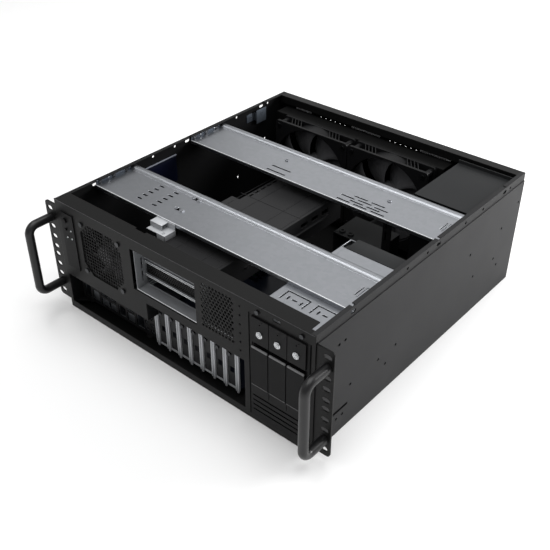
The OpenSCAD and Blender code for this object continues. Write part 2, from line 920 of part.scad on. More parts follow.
// Control strip: a moulded plate that stands proud of the front panel
module control_panel() {
  x1 = strip_x + strip_w;
  y = -strip_proud - over;
  through = strip_lip + 2 * strip_proud + 3 * over;
  color("#2f2f31") placed()
    difference() {
      union() {
        block([strip_x + run, -strip_proud, strip_z[0] + run],
          [x1 - run, sheet_t + strip_lip / 2, strip_z[1] - run]);
        block([strip_x - strip_lip, sheet_t, strip_z[0] - strip_lip],
          [x1 + strip_lip, sheet_t + strip_lip, strip_z[1] + strip_lip]);
        for (p = strip_posts)
          rod_y(strip_x + p[0], sheet_t, strip_z[1] - p[1], strip_board[0] - sheet_t, strip_post_d);
      }
      rod_y(button_x, y, power_z, through, power_d + 2 * run);
      rod_y(button_x, y, reset_z, through, reset_d + 2 * run);
      for (p = lens_places)
        rod_y(strip_x + p[0], y, strip_z[1] - p[1], through, lens_d + 2 * run);
    }
}

// A button with a stop collar behind the strip
module button(z, d, travel) {
  back = sheet_t + strip_lip;
  rod_y(button_x, -strip_proud - button_proud - travel / 2, z,
    strip_proud + button_proud + travel / 2 + back + travel, d);
  rod_y(button_x, back + fit / 3, z, travel, d + 2 * sheet_t);
}

module power_button() {
  color("#3a3b3d") placed()
    button(power_z, power_d, power_travel);
}

module reset_button() {
  color("#3a3b3d") placed()
    button(reset_z, reset_d, reset_travel);
}

// Board behind the strip, with the switches and the indicator lamps
module control_board() {
  y = strip_board[0];
  color("#e8eef2") placed() {
    block([strip_x + run, y, strip_z[1] - strip_board[1]],
      [strip_x + strip_w - run, y + strip_board[2], strip_z[1]]);
    for (p = lens_places)
      rod_y(strip_x + p[0], -strip_proud - button_proud / 4, strip_z[1] - p[1],
        strip_proud + button_proud / 4 + y, lens_d);
    for (b = [[power_z, power_travel], [reset_z, reset_travel]])
      block([button_x - switch_w / 2, sheet_t + strip_lip + 2 * b[1] + 2 * fit, b[0] - switch_w / 2],
        [button_x + switch_w / 2, y, b[0] + switch_w / 2]);
  }
}

// Rack ear: an angle with an inside bend, whose leg lies inside the side wall, and countersunk screw holes
module handle_sink(x, z, grow) {
  rod_y(x, sheet_t - handle_screw_l, z, handle_screw_l + ear_t, handle_screw_d - run + grow);
  translate([x, sheet_t, z])
    rotate([-90, 0, 0])
      cylinder(d1 = handle_screw_d + grow, d2 = 2 * handle_screw_d + grow, h = ear_t + grow / 2);
}

module rack_ear() {
  x0 = wall_in - ear_t;
  back = sheet_t + ear_t;
  leg_top = ledge_z - sheet_t - fit;
  difference() {
    union() {
      front_sheet(sheet_t, ear_t) {
        rounded([half_w, ear_z0], [rack_w / 2, ear_z1], ear_corner);
        patch([half_w, ear_z0], [half_w + ear_corner, ear_z1]);
        patch([x0, ear_z0], [half_w, leg_top]);
      }
      side_sheet(x0, ear_t)
        patch([sheet_t, ear_z0], [sheet_t + ear_leg, leg_top]);
      translate([0, 0, ear_z0])
        linear_extrude(leg_top - ear_z0)
          difference() {
            patch([wall_in, back], [half_w, back + sheet_t]);
            translate([half_w, back + sheet_t])
              circle(sheet_t);
          }
    }
    front_sheet(0, back + over)
      for (p = slot_places)
        translate([rack_pitch / 2, p[0] * rack_unit + rack_first + p[1] * rack_step - rack_drop])
          oblong(rack_slot_l, rack_slot_h);
    for (side = [-1, 1])
      handle_sink(rack_pitch / 2, ear_mid_z + side * handle_pitch / 2, 2 * run);
  }
}

module right_rack_ear() {
  color("#2a2a2b") placed()
    rack_ear();
}

module left_rack_ear() {
  color("#2a2a2b") placed()
    mirror([1, 0, 0])
      rack_ear();
}

// Handle: a round bar bent to a U, with a tapped hole in the end of each leg
module handle() {
  bar_y = handle_d / 2 - handle_reach;
  bend_y = bar_y + handle_bend;
  half = handle_pitch / 2;
  translate([rack_pitch / 2, 0, ear_mid_z])
    difference() {
      union() {
        translate([0, bar_y, -half + handle_bend])
          cylinder(d = handle_d, h = 2 * (half - handle_bend));
        for (side = [-1, 1]) {
          rod_y(0, bend_y, side * half, sheet_t - bend_y, handle_d);
          translate([0, bend_y, side * (half - handle_bend)])
            rotate([0, 90, 0])
              rotate([0, 0, side > 0 ? 180 : 270])
                rotate_extrude(angle = 90)
                  translate([handle_bend, 0])
                    circle(d = handle_d);
        }
      }
      for (side = [-1, 1])
        rod_y(0, sheet_t - handle_screw_l, side * half, handle_screw_l + over, handle_screw_d);
    }
}

module right_handle() {
  color("#242425") placed()
    handle();
}

module left_handle() {
  color("#242425") placed()
    mirror([1, 0, 0])
      handle();
}

// Screws that hold the handles from behind the ears, flush with them
module handle_screws() {
  color("#8a8c8f") placed()
    for (i = [-1, 1], j = [-1, 1])
      handle_sink(i * rack_pitch / 2, ear_mid_z + j * handle_pitch / 2, 0);
}

// Crossbar section: lip, flat, bead and tail, drawn in depth and height
module bar_section() {
  r = (pow(bead_w / 2, 2) + pow(bead_h, 2)) / (2 * bead_h);
  bead_y = bar_w - sheet_t - bead_w / 2;
  patch([0, -bar_lip], [sheet_t, 0]);
  patch([0, -sheet_t], [bead_y - bead_w / 2 + sheet_t / 2, 0]);
  intersection() {
    translate([bead_y, bead_h - r])
      difference() {
        circle(r, $fn = 96);
        circle(r - sheet_t, $fn = 96);
      }
    patch([bead_y - bead_w / 2, -sheet_t], [bead_y + bead_w / 2, bead_h + over]);
  }
  patch([bar_w - 1.6 * sheet_t, -bar_tail], [bar_w - 0.6 * sheet_t, 0]);
}

module crossbar() {
  side_sheet(-bar_half, 2 * bar_half)
    bar_section();
  for (side = [-1, 1])
    block([side > 0 ? bar_half - sheet_t : -bar_half, 2 * sheet_t, -sheet_t],
      [side > 0 ? bar_half : sheet_t - bar_half, bar_w - bead_w - 2 * sheet_t, bar_flange]);
}

dash_x = [-143, -115.2];
dash_y = 15.2;
dash_step = 10;
dash_count = 5;
dash_size = [9, 3];
lance_x = -79.4;
lance_y = [25.4, 58];
lance_size = [12, 5, 2.6];
tab_x = [-86, -47];
tab_d = 4.6;

module front_crossbar() {
  color("#a9abae") placed()
    translate([0, front_bar_y, bar_top]) {
      difference() {
        crossbar();
        flat_sheet(-sheet_t - over, sheet_t + 2 * over) {
          for (x = dash_x, k = [0:dash_count - 1])
            translate([x, dash_y + k * dash_step])
              oblong(dash_size[0], dash_size[1]);
          for (y = lance_y)
            translate([lance_x - lance_size[0] / 2, y])
              square([lance_size[0] / 2, lance_size[1]]);
          translate([bar_half - 3 * bar_flange, bar_w / 3])
            square([sheet_t, bar_w / 4]);
        }
        for (s = bar_screw_shares, side = [-1, 1])
          rod_x(side * bar_half - bar_flange, s * bar_w, bar_flange / 2, 2 * bar_flange, m3_d);
      }
      for (y = lance_y)
        block([lance_x, y, 0], [lance_x + lance_size[0] / 2, y + lance_size[1], lance_size[2] / 2]);
      difference() {
        block([tab_x[0], bar_w - sheet_t, -bar_tail], [tab_x[1], bar_w + tab_d, -bar_tail + sheet_t]);
        for (s = [-1, 1])
          translate([(tab_x[0] + tab_x[1]) / 2 + s * tab_d, bar_w + tab_d / 2, -bar_tail - over])
            cylinder(d = m3_d, h = sheet_t + 2 * over);
      }
      block([extension_x, bar_w - sheet_t, -extension_drop - sheet_t],
        [bar_half, bar_w + extension_w, -extension_drop]);
      block([extension_x, bar_w + extension_w - sheet_t, -bar_tail],
        [bar_half, bar_w + extension_w, -extension_drop]);
    }
}

long_slots = [[-54, 7], [-54, 19.2]];
long_slot_size = [34, 2.6];
vent_rows = [
  [64, 5.5], [91, 5.5], [118, 5.5], [81.5, 11], [107.5, 11], [64, 16.5], [90, 18], [116.5, 16.5], [80, 24],
  [107, 24]
];
vent_row_size = [21.5, 2.6];

module rear_crossbar() {
  color("#b0b2b6") placed()
    translate([0, rear_bar_y, bar_top])
      difference() {
        crossbar();
        flat_sheet(-sheet_t - over, sheet_t + 2 * over) {
          for (p = long_slots)
            translate(p)
              oblong(long_slot_size[0], long_slot_size[1]);
          for (p = vent_rows)
            translate(p)
              oblong(vent_row_size[0], vent_row_size[1]);
          translate([bar_half - 3 * bar_flange, bar_w / 3])
            square([sheet_t, bar_w / 4]);
        }
        for (s = bar_screw_shares, side = [-1, 1])
          rod_x(side * bar_half - bar_flange, s * bar_w, bar_flange / 2, 2 * bar_flange, m3_d);
      }
}

// Small screws: crossbar ends, slot covers and the drive bay
module m3_screw(l) {
  translate([0, 0, -m3_head_h])
    cylinder(d = m3_head_d, h = m3_head_h);
  cylinder(d = m3_d - run, h = l);
}

module panel_screws() {
  color("#b9bbbd") placed() {
    for (bar = [front_bar_y, rear_bar_y], s = bar_screw_shares, side = [-1, 1])
      translate([side * (bar_half - sheet_t), bar + s * bar_w, bar_top + bar_flange / 2])
        rotate([0, side * 90, 0])
          m3_screw(sheet_t);
    for (i = [0:slot_count - 1])
      translate([divider_x + (i + 0.5) * slot_pitch - cover_hole[0] / 2, recess_d + inner_t, cover_screw_z])
        rotate([-90, 0, 0])
          m3_screw(m3_l);
    for (x = bay_screw_x)
      translate([x, 0, bay_screw_z])
        rotate([-90, 0, 0])
          m3_screw(m3_l);
  }
}

// Self-tapping fan screws, front and rear
fan_screw_l = 8;
fan_screw_head = 7;

module fan_screw() {
  translate([0, 0, -m3_head_h])
    cylinder(d = fan_screw_head, h = m3_head_h);
  cylinder(d = fan_hole_d - 2 * run, h = fan_screw_l);
}

module fan_screws() {
  color("#4b4c4e") placed() {
    for (i = [-1, 1], j = [-1, 1])
      facing(fan_x + i * front_fan * hole_share, 0, fan_z + j * front_fan * hole_share)
        fan_screw();
    for (x = rear_fans, i = [-1, 1], j = [-1, 1])
      facing(x + i * rear_fan * hole_share, rear_fan_y, rear_fan_z + j * rear_fan * hole_share)
        fan_screw();
  }
}

// Card holder: a stepped bracket from the front crossbar down to the long card
holder_x = [-92, -72, -50];
holder_setback = [26, 12];
holder_y = [front_bar_y - holder_setback[0], front_bar_y - holder_setback[1]];
holder_drop = 7.5;
holder_top = bar_top - holder_drop;

module card_holder_bracket() {
  lip_y = front_bar_y;
  color("#a5a8ab") placed() {
    block([holder_x[0], lip_y - inner_t, holder_top], [holder_x[1] + inner_t, lip_y, bar_top - sheet_t]);
    block([holder_x[0], holder_y[1], holder_top], [holder_x[1] + inner_t, lip_y, holder_top + inner_t]);
    block([holder_x[1], holder_y[1], card_top],
      [holder_x[1] + inner_t, lip_y - inner_t, holder_top + inner_t]);
    block([holder_x[0] / 2 + holder_x[1] / 2, holder_y[0], card_top + 2 * inner_t],
      [holder_x[2], holder_y[1] + inner_t, card_top + 3 * inner_t]);
    block([holder_x[0] / 2 + holder_x[1] / 2, holder_y[1], card_top],
      [holder_x[2], holder_y[1] + inner_t, card_top + 3 * inner_t]);
  }
}

// Bracket on the left wall near the rear
wall_bracket_back = [90, 73, 50];
wall_bracket_y = [for (d = wall_bracket_back) body_d - d];
wall_bracket_drop = [30.5, 22.5, 14.5];
wall_bracket_z = [for (d = wall_bracket_drop) body_h - d];
wall_bracket_out = 8;

module wall_bracket() {
  x = -wall_in;
  color("#7f868c") placed()
    difference() {
      union() {
        block([x, wall_bracket_y[0], wall_bracket_z[0]],
          [x + inner_t, wall_bracket_y[1], wall_bracket_z[2]]);
        block([x, wall_bracket_y[1] - inner_t, wall_bracket_z[0]],
          [x + wall_bracket_out, wall_bracket_y[1], wall_bracket_z[2]]);
        block([x + wall_bracket_out - inner_t, wall_bracket_y[1] - inner_t, wall_bracket_z[0]],
          [x + wall_bracket_out, wall_bracket_y[2], wall_bracket_z[2]]);
      }
      rod_x(x - over, (wall_bracket_y[0] + wall_bracket_y[1]) / 2, wall_bracket_z[1],
        inner_t + 2 * over, m3_d);
      rod_x(x + wall_bracket_out - inner_t - over, (wall_bracket_y[1] + wall_bracket_y[2]) / 2,
        wall_bracket_z[1], inner_t + 2 * over, m3_d);
    }
}

// Drive cage: galvanised top and side round the drive bay
cage_u = [[10, 43, 39, 57], [52.5, 85.5, 39, 57]];
cage_dash = [7, 2.2];

module cage_lance(x0, x1, y0, y1) {
  patch([x0, y0], [x0 + cage_cut, y1]);
  patch([x0, y1 - cage_cut], [x1, y1]);
  patch([x1 - cage_cut, y0], [x1, y1]);
  for (s = [0.25, 0.8])
    translate([x0 + s * (x1 - x0), (y0 + y1) / 2 - cage_dash[1]])
      rotate(90)
        oblong(cage_dash[0], cage_dash[1]);
  translate([x0 + 0.52 * (x1 - x0), (y0 + y1) / 2 - cage_dash[1]])
    oblong(cage_dash[0], cage_dash[1]);
}

module drive_cage() {
  x1 = strip_in - fit;
  color("#9b9da1") placed() {
    flat_sheet(cage_top - inner_t, inner_t)
      patch([cage_x0, sheet_t + fit], [x1 - ear_t, ear_leg + sheet_t + ear_t]);
    flat_sheet(cage_top - inner_t, inner_t)
      difference() {
        patch([cage_x0, ear_leg + sheet_t + fit], [x1, cage_ledge]);
        for (u = cage_u)
          cage_lance(cage_x0 + u[0], min(cage_x0 + u[1], x1 - 2 * cage_cut), u[2], u[3]);
      }
    side_sheet(cage_x0, inner_t)
      patch([sheet_t + fit, sheet_t], [cage_d, cage_top]);
    block([cage_x0, cage_d - inner_t, sheet_t], [cage_x0 + 2 * bar_flange, cage_d, cage_top]);
    side_sheet(x1 - inner_t, inner_t)
      patch([ear_leg + sheet_t + 2 * ear_t, cage_top - 2 * lid_skirt], [cage_d, cage_top]);
    flat_sheet(sheet_t, inner_t)
      patch([cage_x0, sheet_t + fit], [x1 - 2 * ear_t, cage_d]);
  }
}

// Drive bay: black surround with louvres below the trays, and the shell that the trays run in
module drive_bay_frame() {
  x0 = bay_x[0] + run;
  x1 = bay_x[1] - run;
  z0 = bay_z[0] + run;
  z1 = bay_z[1] - run;
  tx0 = tray_x0 - run;
  tx1 = tray_x0 + tray_count * tray_pitch + run;
  tz0 = tray_z - fit;
  tz1 = tray_z + tray_h + fit;
  color("#1c1c1d") placed()
    difference() {
      union() {
        block([x0, -run, z0], [x1, 2 * bay_rim, z1]);
        block([tx0 - bay_wall, bay_rim, z0], [tx1 + bay_wall, cage_d - 2 * bay_rim, z1]);
      }
      block([tx0, -over, tz0], [tx1, cage_d, tz1]);
      block([tx0, 2 * bay_rim, z0 + bay_wall], [tx1, cage_d, tz0 - bay_wall]);
      for (k = [0:louvre_count - 2])
        block([tx0, -over, tz0 - (k + 1) * louvre_step],
          [tx1, louvre_d, tz0 - (k + 1) * louvre_step + louvre_h]);
    }
}

// Backplane behind the trays
module drive_backplane() {
  tx0 = tray_x0 + fit;
  tx1 = tray_x0 + tray_count * tray_pitch - fit;
  plug = [9, 6, 42];
  color("#1f4a2d") placed() {
    block([tx0, backplane_y, tray_z + fit], [tx1, backplane_y + backplane_t, tray_z + tray_h - fit]);
    for (i = [0:tray_count - 1])
      translate([tray_x0 + (i + 0.5) * tray_pitch - plug[0] / 2, backplane_y + backplane_t - fit / 3,
        tray_z + tray_h / 3])
        cube(plug);
  }
}

// Drive tray: face with the lock seat, lever seat and rails above and below the drive
module tray_left(i) {
  translate([tray_x0 + i * tray_pitch + (tray_pitch - tray_w) / 2, 0, 0])
    children();
}

module drive_tray(i) {
  z1 = tray_z + tray_h;
  pin_y = lever_y + lever_t / 2;
  rail_x = (tray_w - tray_rail_w) / 2;
  color("#1e1e1f") placed()
    tray_left(i) {
      difference() {
        union() {
          block([0, tray_face_y, tray_z], [tray_w, tray_face_d, z1]);
          block([0, pin_y, lever_z[1] + lever_gap], [tray_w, tray_face_d, z1]);
          block([0, pin_y, tray_z], [tray_w, tray_face_d, lever_z[0] - lever_t / 2 - fit]);
          for (x = [0, tray_w - lever_ear]) {
            block([x, pin_y, lever_z[0] - lever_t / 2 - fit],
              [x + lever_ear, tray_face_d, lever_z[0] + lever_t / 2]);
            rod_x(x, pin_y, lever_z[0], lever_ear, lever_t);
          }
          rod_x(0, pin_y, lever_z[0], tray_w, lever_pin_d);
        }
        block([lever_ear, lever_y, lever_z[1]],
          [tray_w - lever_ear, tray_face_d / 2 + over, lever_z[1] + lever_gap]);
        rod_y(tray_w / 2, lever_y, lock_z, tray_face_d - lever_y + over, lock_d + 2 * run);
        rod_y(tray_w / 2, lever_y, led_z, tray_face_d - lever_y + over, led_d);
      }
      for (z = [tray_z, z1 - tray_rail_h])
        block([rail_x, tray_face_d, z], [rail_x + tray_rail_w, tray_d, z + tray_rail_h]);
    }
}

module drive_tray_1() { drive_tray(0); }
module drive_tray_2() { drive_tray(1); }
module drive_tray_3() { drive_tray(2); }

// Lever: a bevelled door on a pin at its foot
module lever_section() {
  h = lever_z[1] - lever_z[0];
  polygon([
    [0, 0], [lever_t, 0], [lever_t, h], [lever_bevel, h], [0, h - lever_bevel]
  ]);
  translate([lever_t / 2, 0])
    circle(d = lever_t);
}

module drive_lever(i) {
  play = fit / 2;
  color("#2c2c2e") placed()
    tray_left(i)
      difference() {
        translate([play, lever_y, lever_z[0]])
          rotate([90, 0, 90])
            linear_extrude(tray_w - 2 * play)
              lever_section();
        for (x = [-over, tray_w - lever_ear - fit])
          block([x, lever_y - over, lever_z[0] - lever_t],
            [x + lever_ear + fit + over, lever_y + lever_t + over, lever_z[0] + lever_t / 2 + fit]);
        rod_x(-over, lever_y + lever_t / 2, lever_z[0], tray_w + 2 * over, lever_pin_d + 2 * run);
      }
}

module drive_lever_1() { drive_lever(0); }
module drive_lever_2() { drive_lever(1); }
module drive_lever_3() { drive_lever(2); }

// Lock: a turned barrel with a key slot
module drive_lock(i) {
  y0 = lever_y + lever_t / 2 - lock_proud;
  rim = lock_d / 9;
  color("#c9cbcd") placed()
    tray_left(i)
      difference() {
        translate([tray_w / 2, y0, lock_z])
          rotate([-90, 0, 0])
            rotate_extrude()
              polygon([
                [0, rim / 2], [lock_d / 3, rim / 2], [lock_d / 3 + rim / 2, 0], [lock_d / 2 - rim / 2, 0],
                [lock_d / 2, rim / 2], [lock_d / 2, lock_l], [0, lock_l]
              ]);
        block([tray_w / 2 - key_slot[0] / 2, y0 - over, lock_z - key_slot[1] / 2],
          [tray_w / 2 + key_slot[0] / 2, y0 + lock_l / 2, lock_z + key_slot[1] / 2]);
      }
}

module drive_lock_1() { drive_lock(0); }
module drive_lock_2() { drive_lock(1); }
module drive_lock_3() { drive_lock(2); }

// Hard drive carried between the rails of its tray
drive_step = [2, 18, 4];

module hard_drive(i) {
  x = (tray_w - drive_size[0]) / 2;
  z = tray_z + (tray_h - drive_size[2]) / 2;
  color("#7d8083") placed()
    tray_left(i)
      difference() {
        block([x, drive_y, z], [x + drive_size[0], drive_y + drive_size[1], z + drive_size[2]]);
        block([x - over, drive_y + drive_size[1] - drive_step[1], z + drive_step[2]],
          [x + drive_step[0], drive_y + drive_size[1] + over, z + drive_size[2] - drive_step[2]]);
        rod_x(x - over, drive_y + drive_size[1] / 2, z + drive_size[2] / 2,
          drive_step[0] / 2 + over, drive_size[2] * 0.6);
      }
}

module hard_drive_1() { hard_drive(0); }
module hard_drive_2() { hard_drive(1); }
module hard_drive_3() { hard_drive(2); }

// Bracket behind the rear fans: a plate with two round openings, turned over at the top and the foot
bracket_ends = [-200, 111];

module rear_fan_bracket() {
  x0 = bracket_ends[0];
  x1 = bracket_ends[1];
  color("#242527") placed() {
    front_sheet(bracket_y, sheet_t)
      difference() {
        patch([x0, sheet_t], [x1, bracket_top]);
        for (x = rear_fans)
          translate([x, rear_fan_z])
            circle(d = rear_fan - 2 * fan_flange, $fn = 96);
        for (x = rear_fans, i = [-1, 1], j = [-1, 1])
          translate([x + i * rear_fan * hole_share, rear_fan_z + j * rear_fan * hole_share])
            circle(d = fan_hole_d);
      }
    flat_sheet(bracket_top - sheet_t, sheet_t)
      patch([x0, bracket_y], [x1, bracket_y + bracket_depth]);
    flat_sheet(sheet_t, sheet_t)
      patch([x0, bracket_y], [x1, bracket_y + bracket_depth / 2]);
  }
}

module left_rear_fan_frame() {
  color("#1c1c1d") placed()
    facing(rear_fans[0], rear_fan_y, rear_fan_z)
      fan_frame(rear_fan, fan_depth, 4);
}

module right_rear_fan_frame() {
  color("#1c1c1d") placed()
    facing(rear_fans[1], rear_fan_y, rear_fan_z)
      fan_frame(rear_fan, fan_depth, 4);
}

module left_rear_fan_rotor() {
  color("#252527") placed()
    facing(rear_fans[0], rear_fan_y, rear_fan_z)
      fan_rotor(rear_fan, fan_depth);
}

module right_rear_fan_rotor() {
  color("#252527") placed()
    facing(rear_fans[1], rear_fan_y, rear_fan_z)
      fan_rotor(rear_fan, fan_depth);
}

// Power supply: a box on its side, with a grille, an inlet and seams
inlet = [27, 20];
inlet_z = 20;
psu_wall = 2;

module power_supply() {
  x1 = psu_x + psu_size[0];
  y1 = rear_in;
  z0 = sheet_t;
  z1 = sheet_t + psu_size[2];
  mid = (psu_x + x1) / 2;
  color("#5d6064") placed()
    difference() {
      block([psu_x, psu_y, z0], [x1, y1, z1]);
      block([psu_x + psu_wall, psu_y + psu_wall, z0 + psu_wall],
        [x1 - psu_wall, y1 - psu_wall, z1 - psu_wall]);
      front_sheet(y1 - psu_wall - over, psu_wall + 2 * over)
        translate([mid, z1 - psu_size[0] / 2 - 2 * inlet_z / 3])
          hex_disc(psu_size[0] / 2 - 2 * psu_open_inset, rear_vent_pitch * 0.8, rear_vent_hole * 0.8);
      block([mid - inlet[0] / 2, y1 - psu_wall - over, z0 + inlet_z - inlet[1] / 2],
        [mid + inlet[0] / 2, y1 + over, z0 + inlet_z + inlet[1] / 2]);
    }
}

module power_supply_cover() {
  x0 = psu_x - 1.5 * psu_gap;
  x1 = strip_in - fit;
  color("#4b4c4e") placed() {
    block([x0, psu_cover_y[0], psu_cover_top - sheet_t], [x1, psu_cover_y[1], psu_cover_top]);
    block([x0, psu_cover_y[1] - sheet_t, psu_cover_top - sheet_t],
      [x1, psu_cover_y[1], psu_cover_top + psu_upstand]);
    block([x0, psu_cover_y[0], sheet_t], [x0 + sheet_t, psu_cover_y[1], psu_cover_top]);
  }
}

// Mainboard with its sockets and slots
socket_size = [60, 60, 4];
socket_at = [75, 70];
memory_x = 28;
memory_back = 66;
memory_y = board_size[1] - memory_back;
memory_step = 9.5;
memory_count = 4;
memory_socket = [140, 6, 7];
card_slot = [6, 90, 10];
sink_size = [44, 44, 14];
sink_inset = [88, 70];
sink_fins = 6;
sink_fin_t = 4;

module mainboard() {
  color("#1a2233") placed() {
    difference() {
      block([board_x, board_y, board_z], [board_x + board_size[0], board_y + board_size[1], board_top]);
      for (p = stand_places)
        translate([board_x + p[0], board_y + p[1], board_z - over])
          cylinder(d = m3_d + 2 * fit, h = board_t + 2 * over);
    }
    translate([board_x + socket_at[0] - socket_size[0] / 2, board_y + socket_at[1] - socket_size[1] / 2,
      board_top])
      cube(socket_size);
    for (k = [0:memory_count - 1])
      translate([board_x + memory_x, board_y + memory_y + k * memory_step, board_top])
        difference() {
          cube(memory_socket);
          translate([memory_socket[2] / 2 - fit, (memory_socket[1] - memory_t) / 2 - fit,
            memory_socket[2] / 2])
            cube([memory_l + 2 * fit, memory_t + 2 * fit, memory_socket[2]]);
        }
    for (i = [0:slot_count - 1])
      translate([divider_x + (i + 0.5) * slot_pitch - card_slot[0] / 2, board_y + board_size[1] / 5,
        board_top])
        cube(card_slot);
    translate([board_x + board_size[0] - sink_inset[0], board_y + board_size[1] - sink_inset[1],
      board_top]) {
      for (k = [0:sink_fins - 1])
        translate([k * (sink_size[0] - sink_fin_t) / (sink_fins - 1), 0, 0])
          cube([sink_fin_t, sink_size[1], sink_size[2]]);
      cube([sink_size[0], sink_size[1], sink_size[2] / 4]);
    }
  }
}

module board_standoffs() {
  color("#b08d3c") placed()
    for (p = stand_places)
      translate([board_x + p[0], board_y + p[1], sheet_t + pad_h])
        cylinder(d = 2 * m3_d, h = board_z - sheet_t - pad_h, $fn = 6);
}

// Memory modules in their sockets
memory_l = 133.35;
memory_t = 1.4;
memory_h = 31;
memory_chip = [12, 1, 9];

module memory_modules() {
  color("#20382b") placed()
    for (k = [0:memory_count - 1])
      translate([board_x + memory_x + memory_socket[2] / 2,
        board_y + memory_y + k * memory_step + (memory_socket[1] - memory_t) / 2,
        board_top + memory_socket[2] / 2]) {
        cube([memory_l, memory_t, memory_h]);
        for (c = [0:7])
          translate([4 * memory_chip[1] + c * (memory_l - memory_chip[0]) / 8, -memory_chip[1],
            memory_h / 2 - 2 * memory_chip[1]])
            cube(memory_chip);
      }
}

// Processor cooler: a block with upright fins
cooler_size = [86, 84, 50];
cooler_base = 8;
fin_t = 1;
fin_count = 18;

module cpu_cooler() {
  x = board_x + socket_at[0] - cooler_size[0] / 2;
  y = board_y + socket_at[1] - cooler_size[1] / 2;
  z = board_top + socket_size[2];
  color("#8c9196") placed() {
    block([x, y, z], [x + cooler_size[0], y + cooler_size[1], z + cooler_base]);
    for (k = [0:fin_count - 1])
      translate([x + k * (cooler_size[0] - fin_t) / (fin_count - 1), y, z + cooler_base])
        cube([fin_t, cooler_size[1], cooler_size[2] - cooler_base]);
  }
}

// Long expansion card: a shell with vents along one edge and sockets on its right side
card_wing = 14;
card_wing_y = 172;
card_vent = [3, 9];
card_vent_step = 12.6;
card_vent_count = 5;
card_socket_step = 22.4;
card_socket_z = [9, 15];
card_wall = 2;

module expansion_card() {
  y1 = card_y + card_l;
  z0 = card_top - card_h;
  vent_y = card_wing_y + 2 * card_wing;
  color("#3a3b3c") placed()
    difference() {
      union() {
        block([card_x[0], card_y, z0], [card_x[1], y1, card_top]);
        block([card_x[0] - card_wing, card_y + 3 * card_wing, card_top - 2 * inner_t],
          [card_x[0], card_wing_y + card_wing, card_top]);
        block([card_x[1], card_y + 5 * card_wing, z0 + card_h / 2 - inner_t],
          [card_x[1] + card_wing / 4, y1 - 2 * card_wing, z0 + card_h / 2]);
      }
      block([card_x[0] + card_wall, card_y + card_wall, z0 + card_wall],
        [card_x[1] - card_wall, y1 - card_wall, card_top - card_wall]);
      for (k = [0:card_vent_count - 1])
        translate([card_x[0] + card_vent[0], vent_y + k * card_vent_step, card_top - card_vent[0]])
          cube([card_vent[0], card_vent[1], card_vent[0] + over]);
      for (k = [0:2])
        block([card_x[1] - card_vent[0], vent_y + k * card_socket_step, card_top - card_socket_z[1]],
          [card_x[1] + over, vent_y + k * card_socket_step + card_wing, card_top - card_socket_z[0]]);
    }
}

// Post under the rear crossbar: an upright channel with two slots
post_x = [128, 141];
post_share = 0.475;
post_y = cage_d + post_share * (psu_y - cage_d);
post_d = 11;
post_slot_drop = [[35.5, 21.5], [17.5, 7.5]];

module crossbar_post() {
  top = bar_top - sheet_t;
  color("#1f2022") placed() {
    front_sheet(post_y, sheet_t)
      difference() {
        patch([post_x[0], sheet_t], [post_x[1], top]);
        for (s = post_slot_drop)
          patch([post_x[0] + 3 * sheet_t, bar_top - s[0]], [post_x[0] + 5 * sheet_t, bar_top - s[1]]);
      }
    block([post_x[0], post_y, sheet_t], [post_x[0] + sheet_t, post_y + post_d, top]);
    block([post_x[0], post_y, sheet_t], [post_x[1], post_y + post_d, 2 * sheet_t]);
  }
}

// Cage for small drives: a galvanised bridge with two bosses
ssd_w = 74;
ssd_gap = 4;
ssd_depth = 54;
ssd_x = [card_x[1] + card_wing / 4 + fit, card_x[1] + card_wing / 4 + fit + ssd_w];
ssd_y = [board_y + board_size[1] + ssd_gap, board_y + board_size[1] + ssd_gap + ssd_depth];
ssd_top = 100;
ssd_boss_d = 9;
ssd_boss_h = 2;
ssd_boss_step = 14;

module ssd_cage() {
  color("#8d9094") placed() {
    block([ssd_x[0], ssd_y[0], ssd_top - inner_t], [ssd_x[1], ssd_y[1], ssd_top]);
    for (x = [ssd_x[0], ssd_x[1] - inner_t])
      block([x, ssd_y[0], sheet_t], [x + inner_t, ssd_y[1], ssd_top]);
    for (k = [0, 1])
      translate([ssd_x[0] + ssd_boss_d + k * ssd_boss_step, ssd_y[0] + ssd_boss_d, ssd_top])
        difference() {
          cylinder(d = ssd_boss_d, h = ssd_boss_h);
          translate([0, 0, ssd_boss_h / 2])
            cylinder(d = ssd_boss_d / 2, h = ssd_boss_h);
        }
  }
}

// Cables: swept tubes, with the routes' corners rounded by cutting them twice
cable_d = 4;
cable_sides = 8;
cable_turn = [0, 0.6, 1];
cable_routes = [
  [
    [143, 171.5, 86], [143, 184, 86], [142, 196, 84], [132, 204, 70], [112, 206, 40], [98, 206, 15], [90, 206, 15]
  ], [
    [168, 171.5, 86], [168, 186, 86], [164, 204, 84], [142, 214, 70], [114, 216, 40], [98, 216, 15], [90, 216, 15]
  ], [
    [194, 171.5, 86], [194, 188, 86], [188, 212, 84], [152, 224, 70], [116, 226, 40], [98, 226, 15], [90, 226, 15]
  ]
];

function unit(v) = v / norm(v);
function rounder(p) = [
  p[0],
  for (i = [0:len(p) - 2])
    each [p[i] * 0.75 + p[i + 1] * 0.25, p[i] * 0.25 + p[i + 1] * 0.75],
  p[len(p) - 1]
];
function heading(p, i) = unit(p[min(i + 1, len(p) - 1)] - p[max(i - 1, 0)]);
function ring(p, i) =
  let (t = heading(p, i), s = unit(cross(t, cable_turn)), u = cross(s, t))
  [for (k = [0:cable_sides - 1])
    p[i] + (s * cos(k * 360 / cable_sides) + u * sin(k * 360 / cable_sides)) * cable_d / 2];

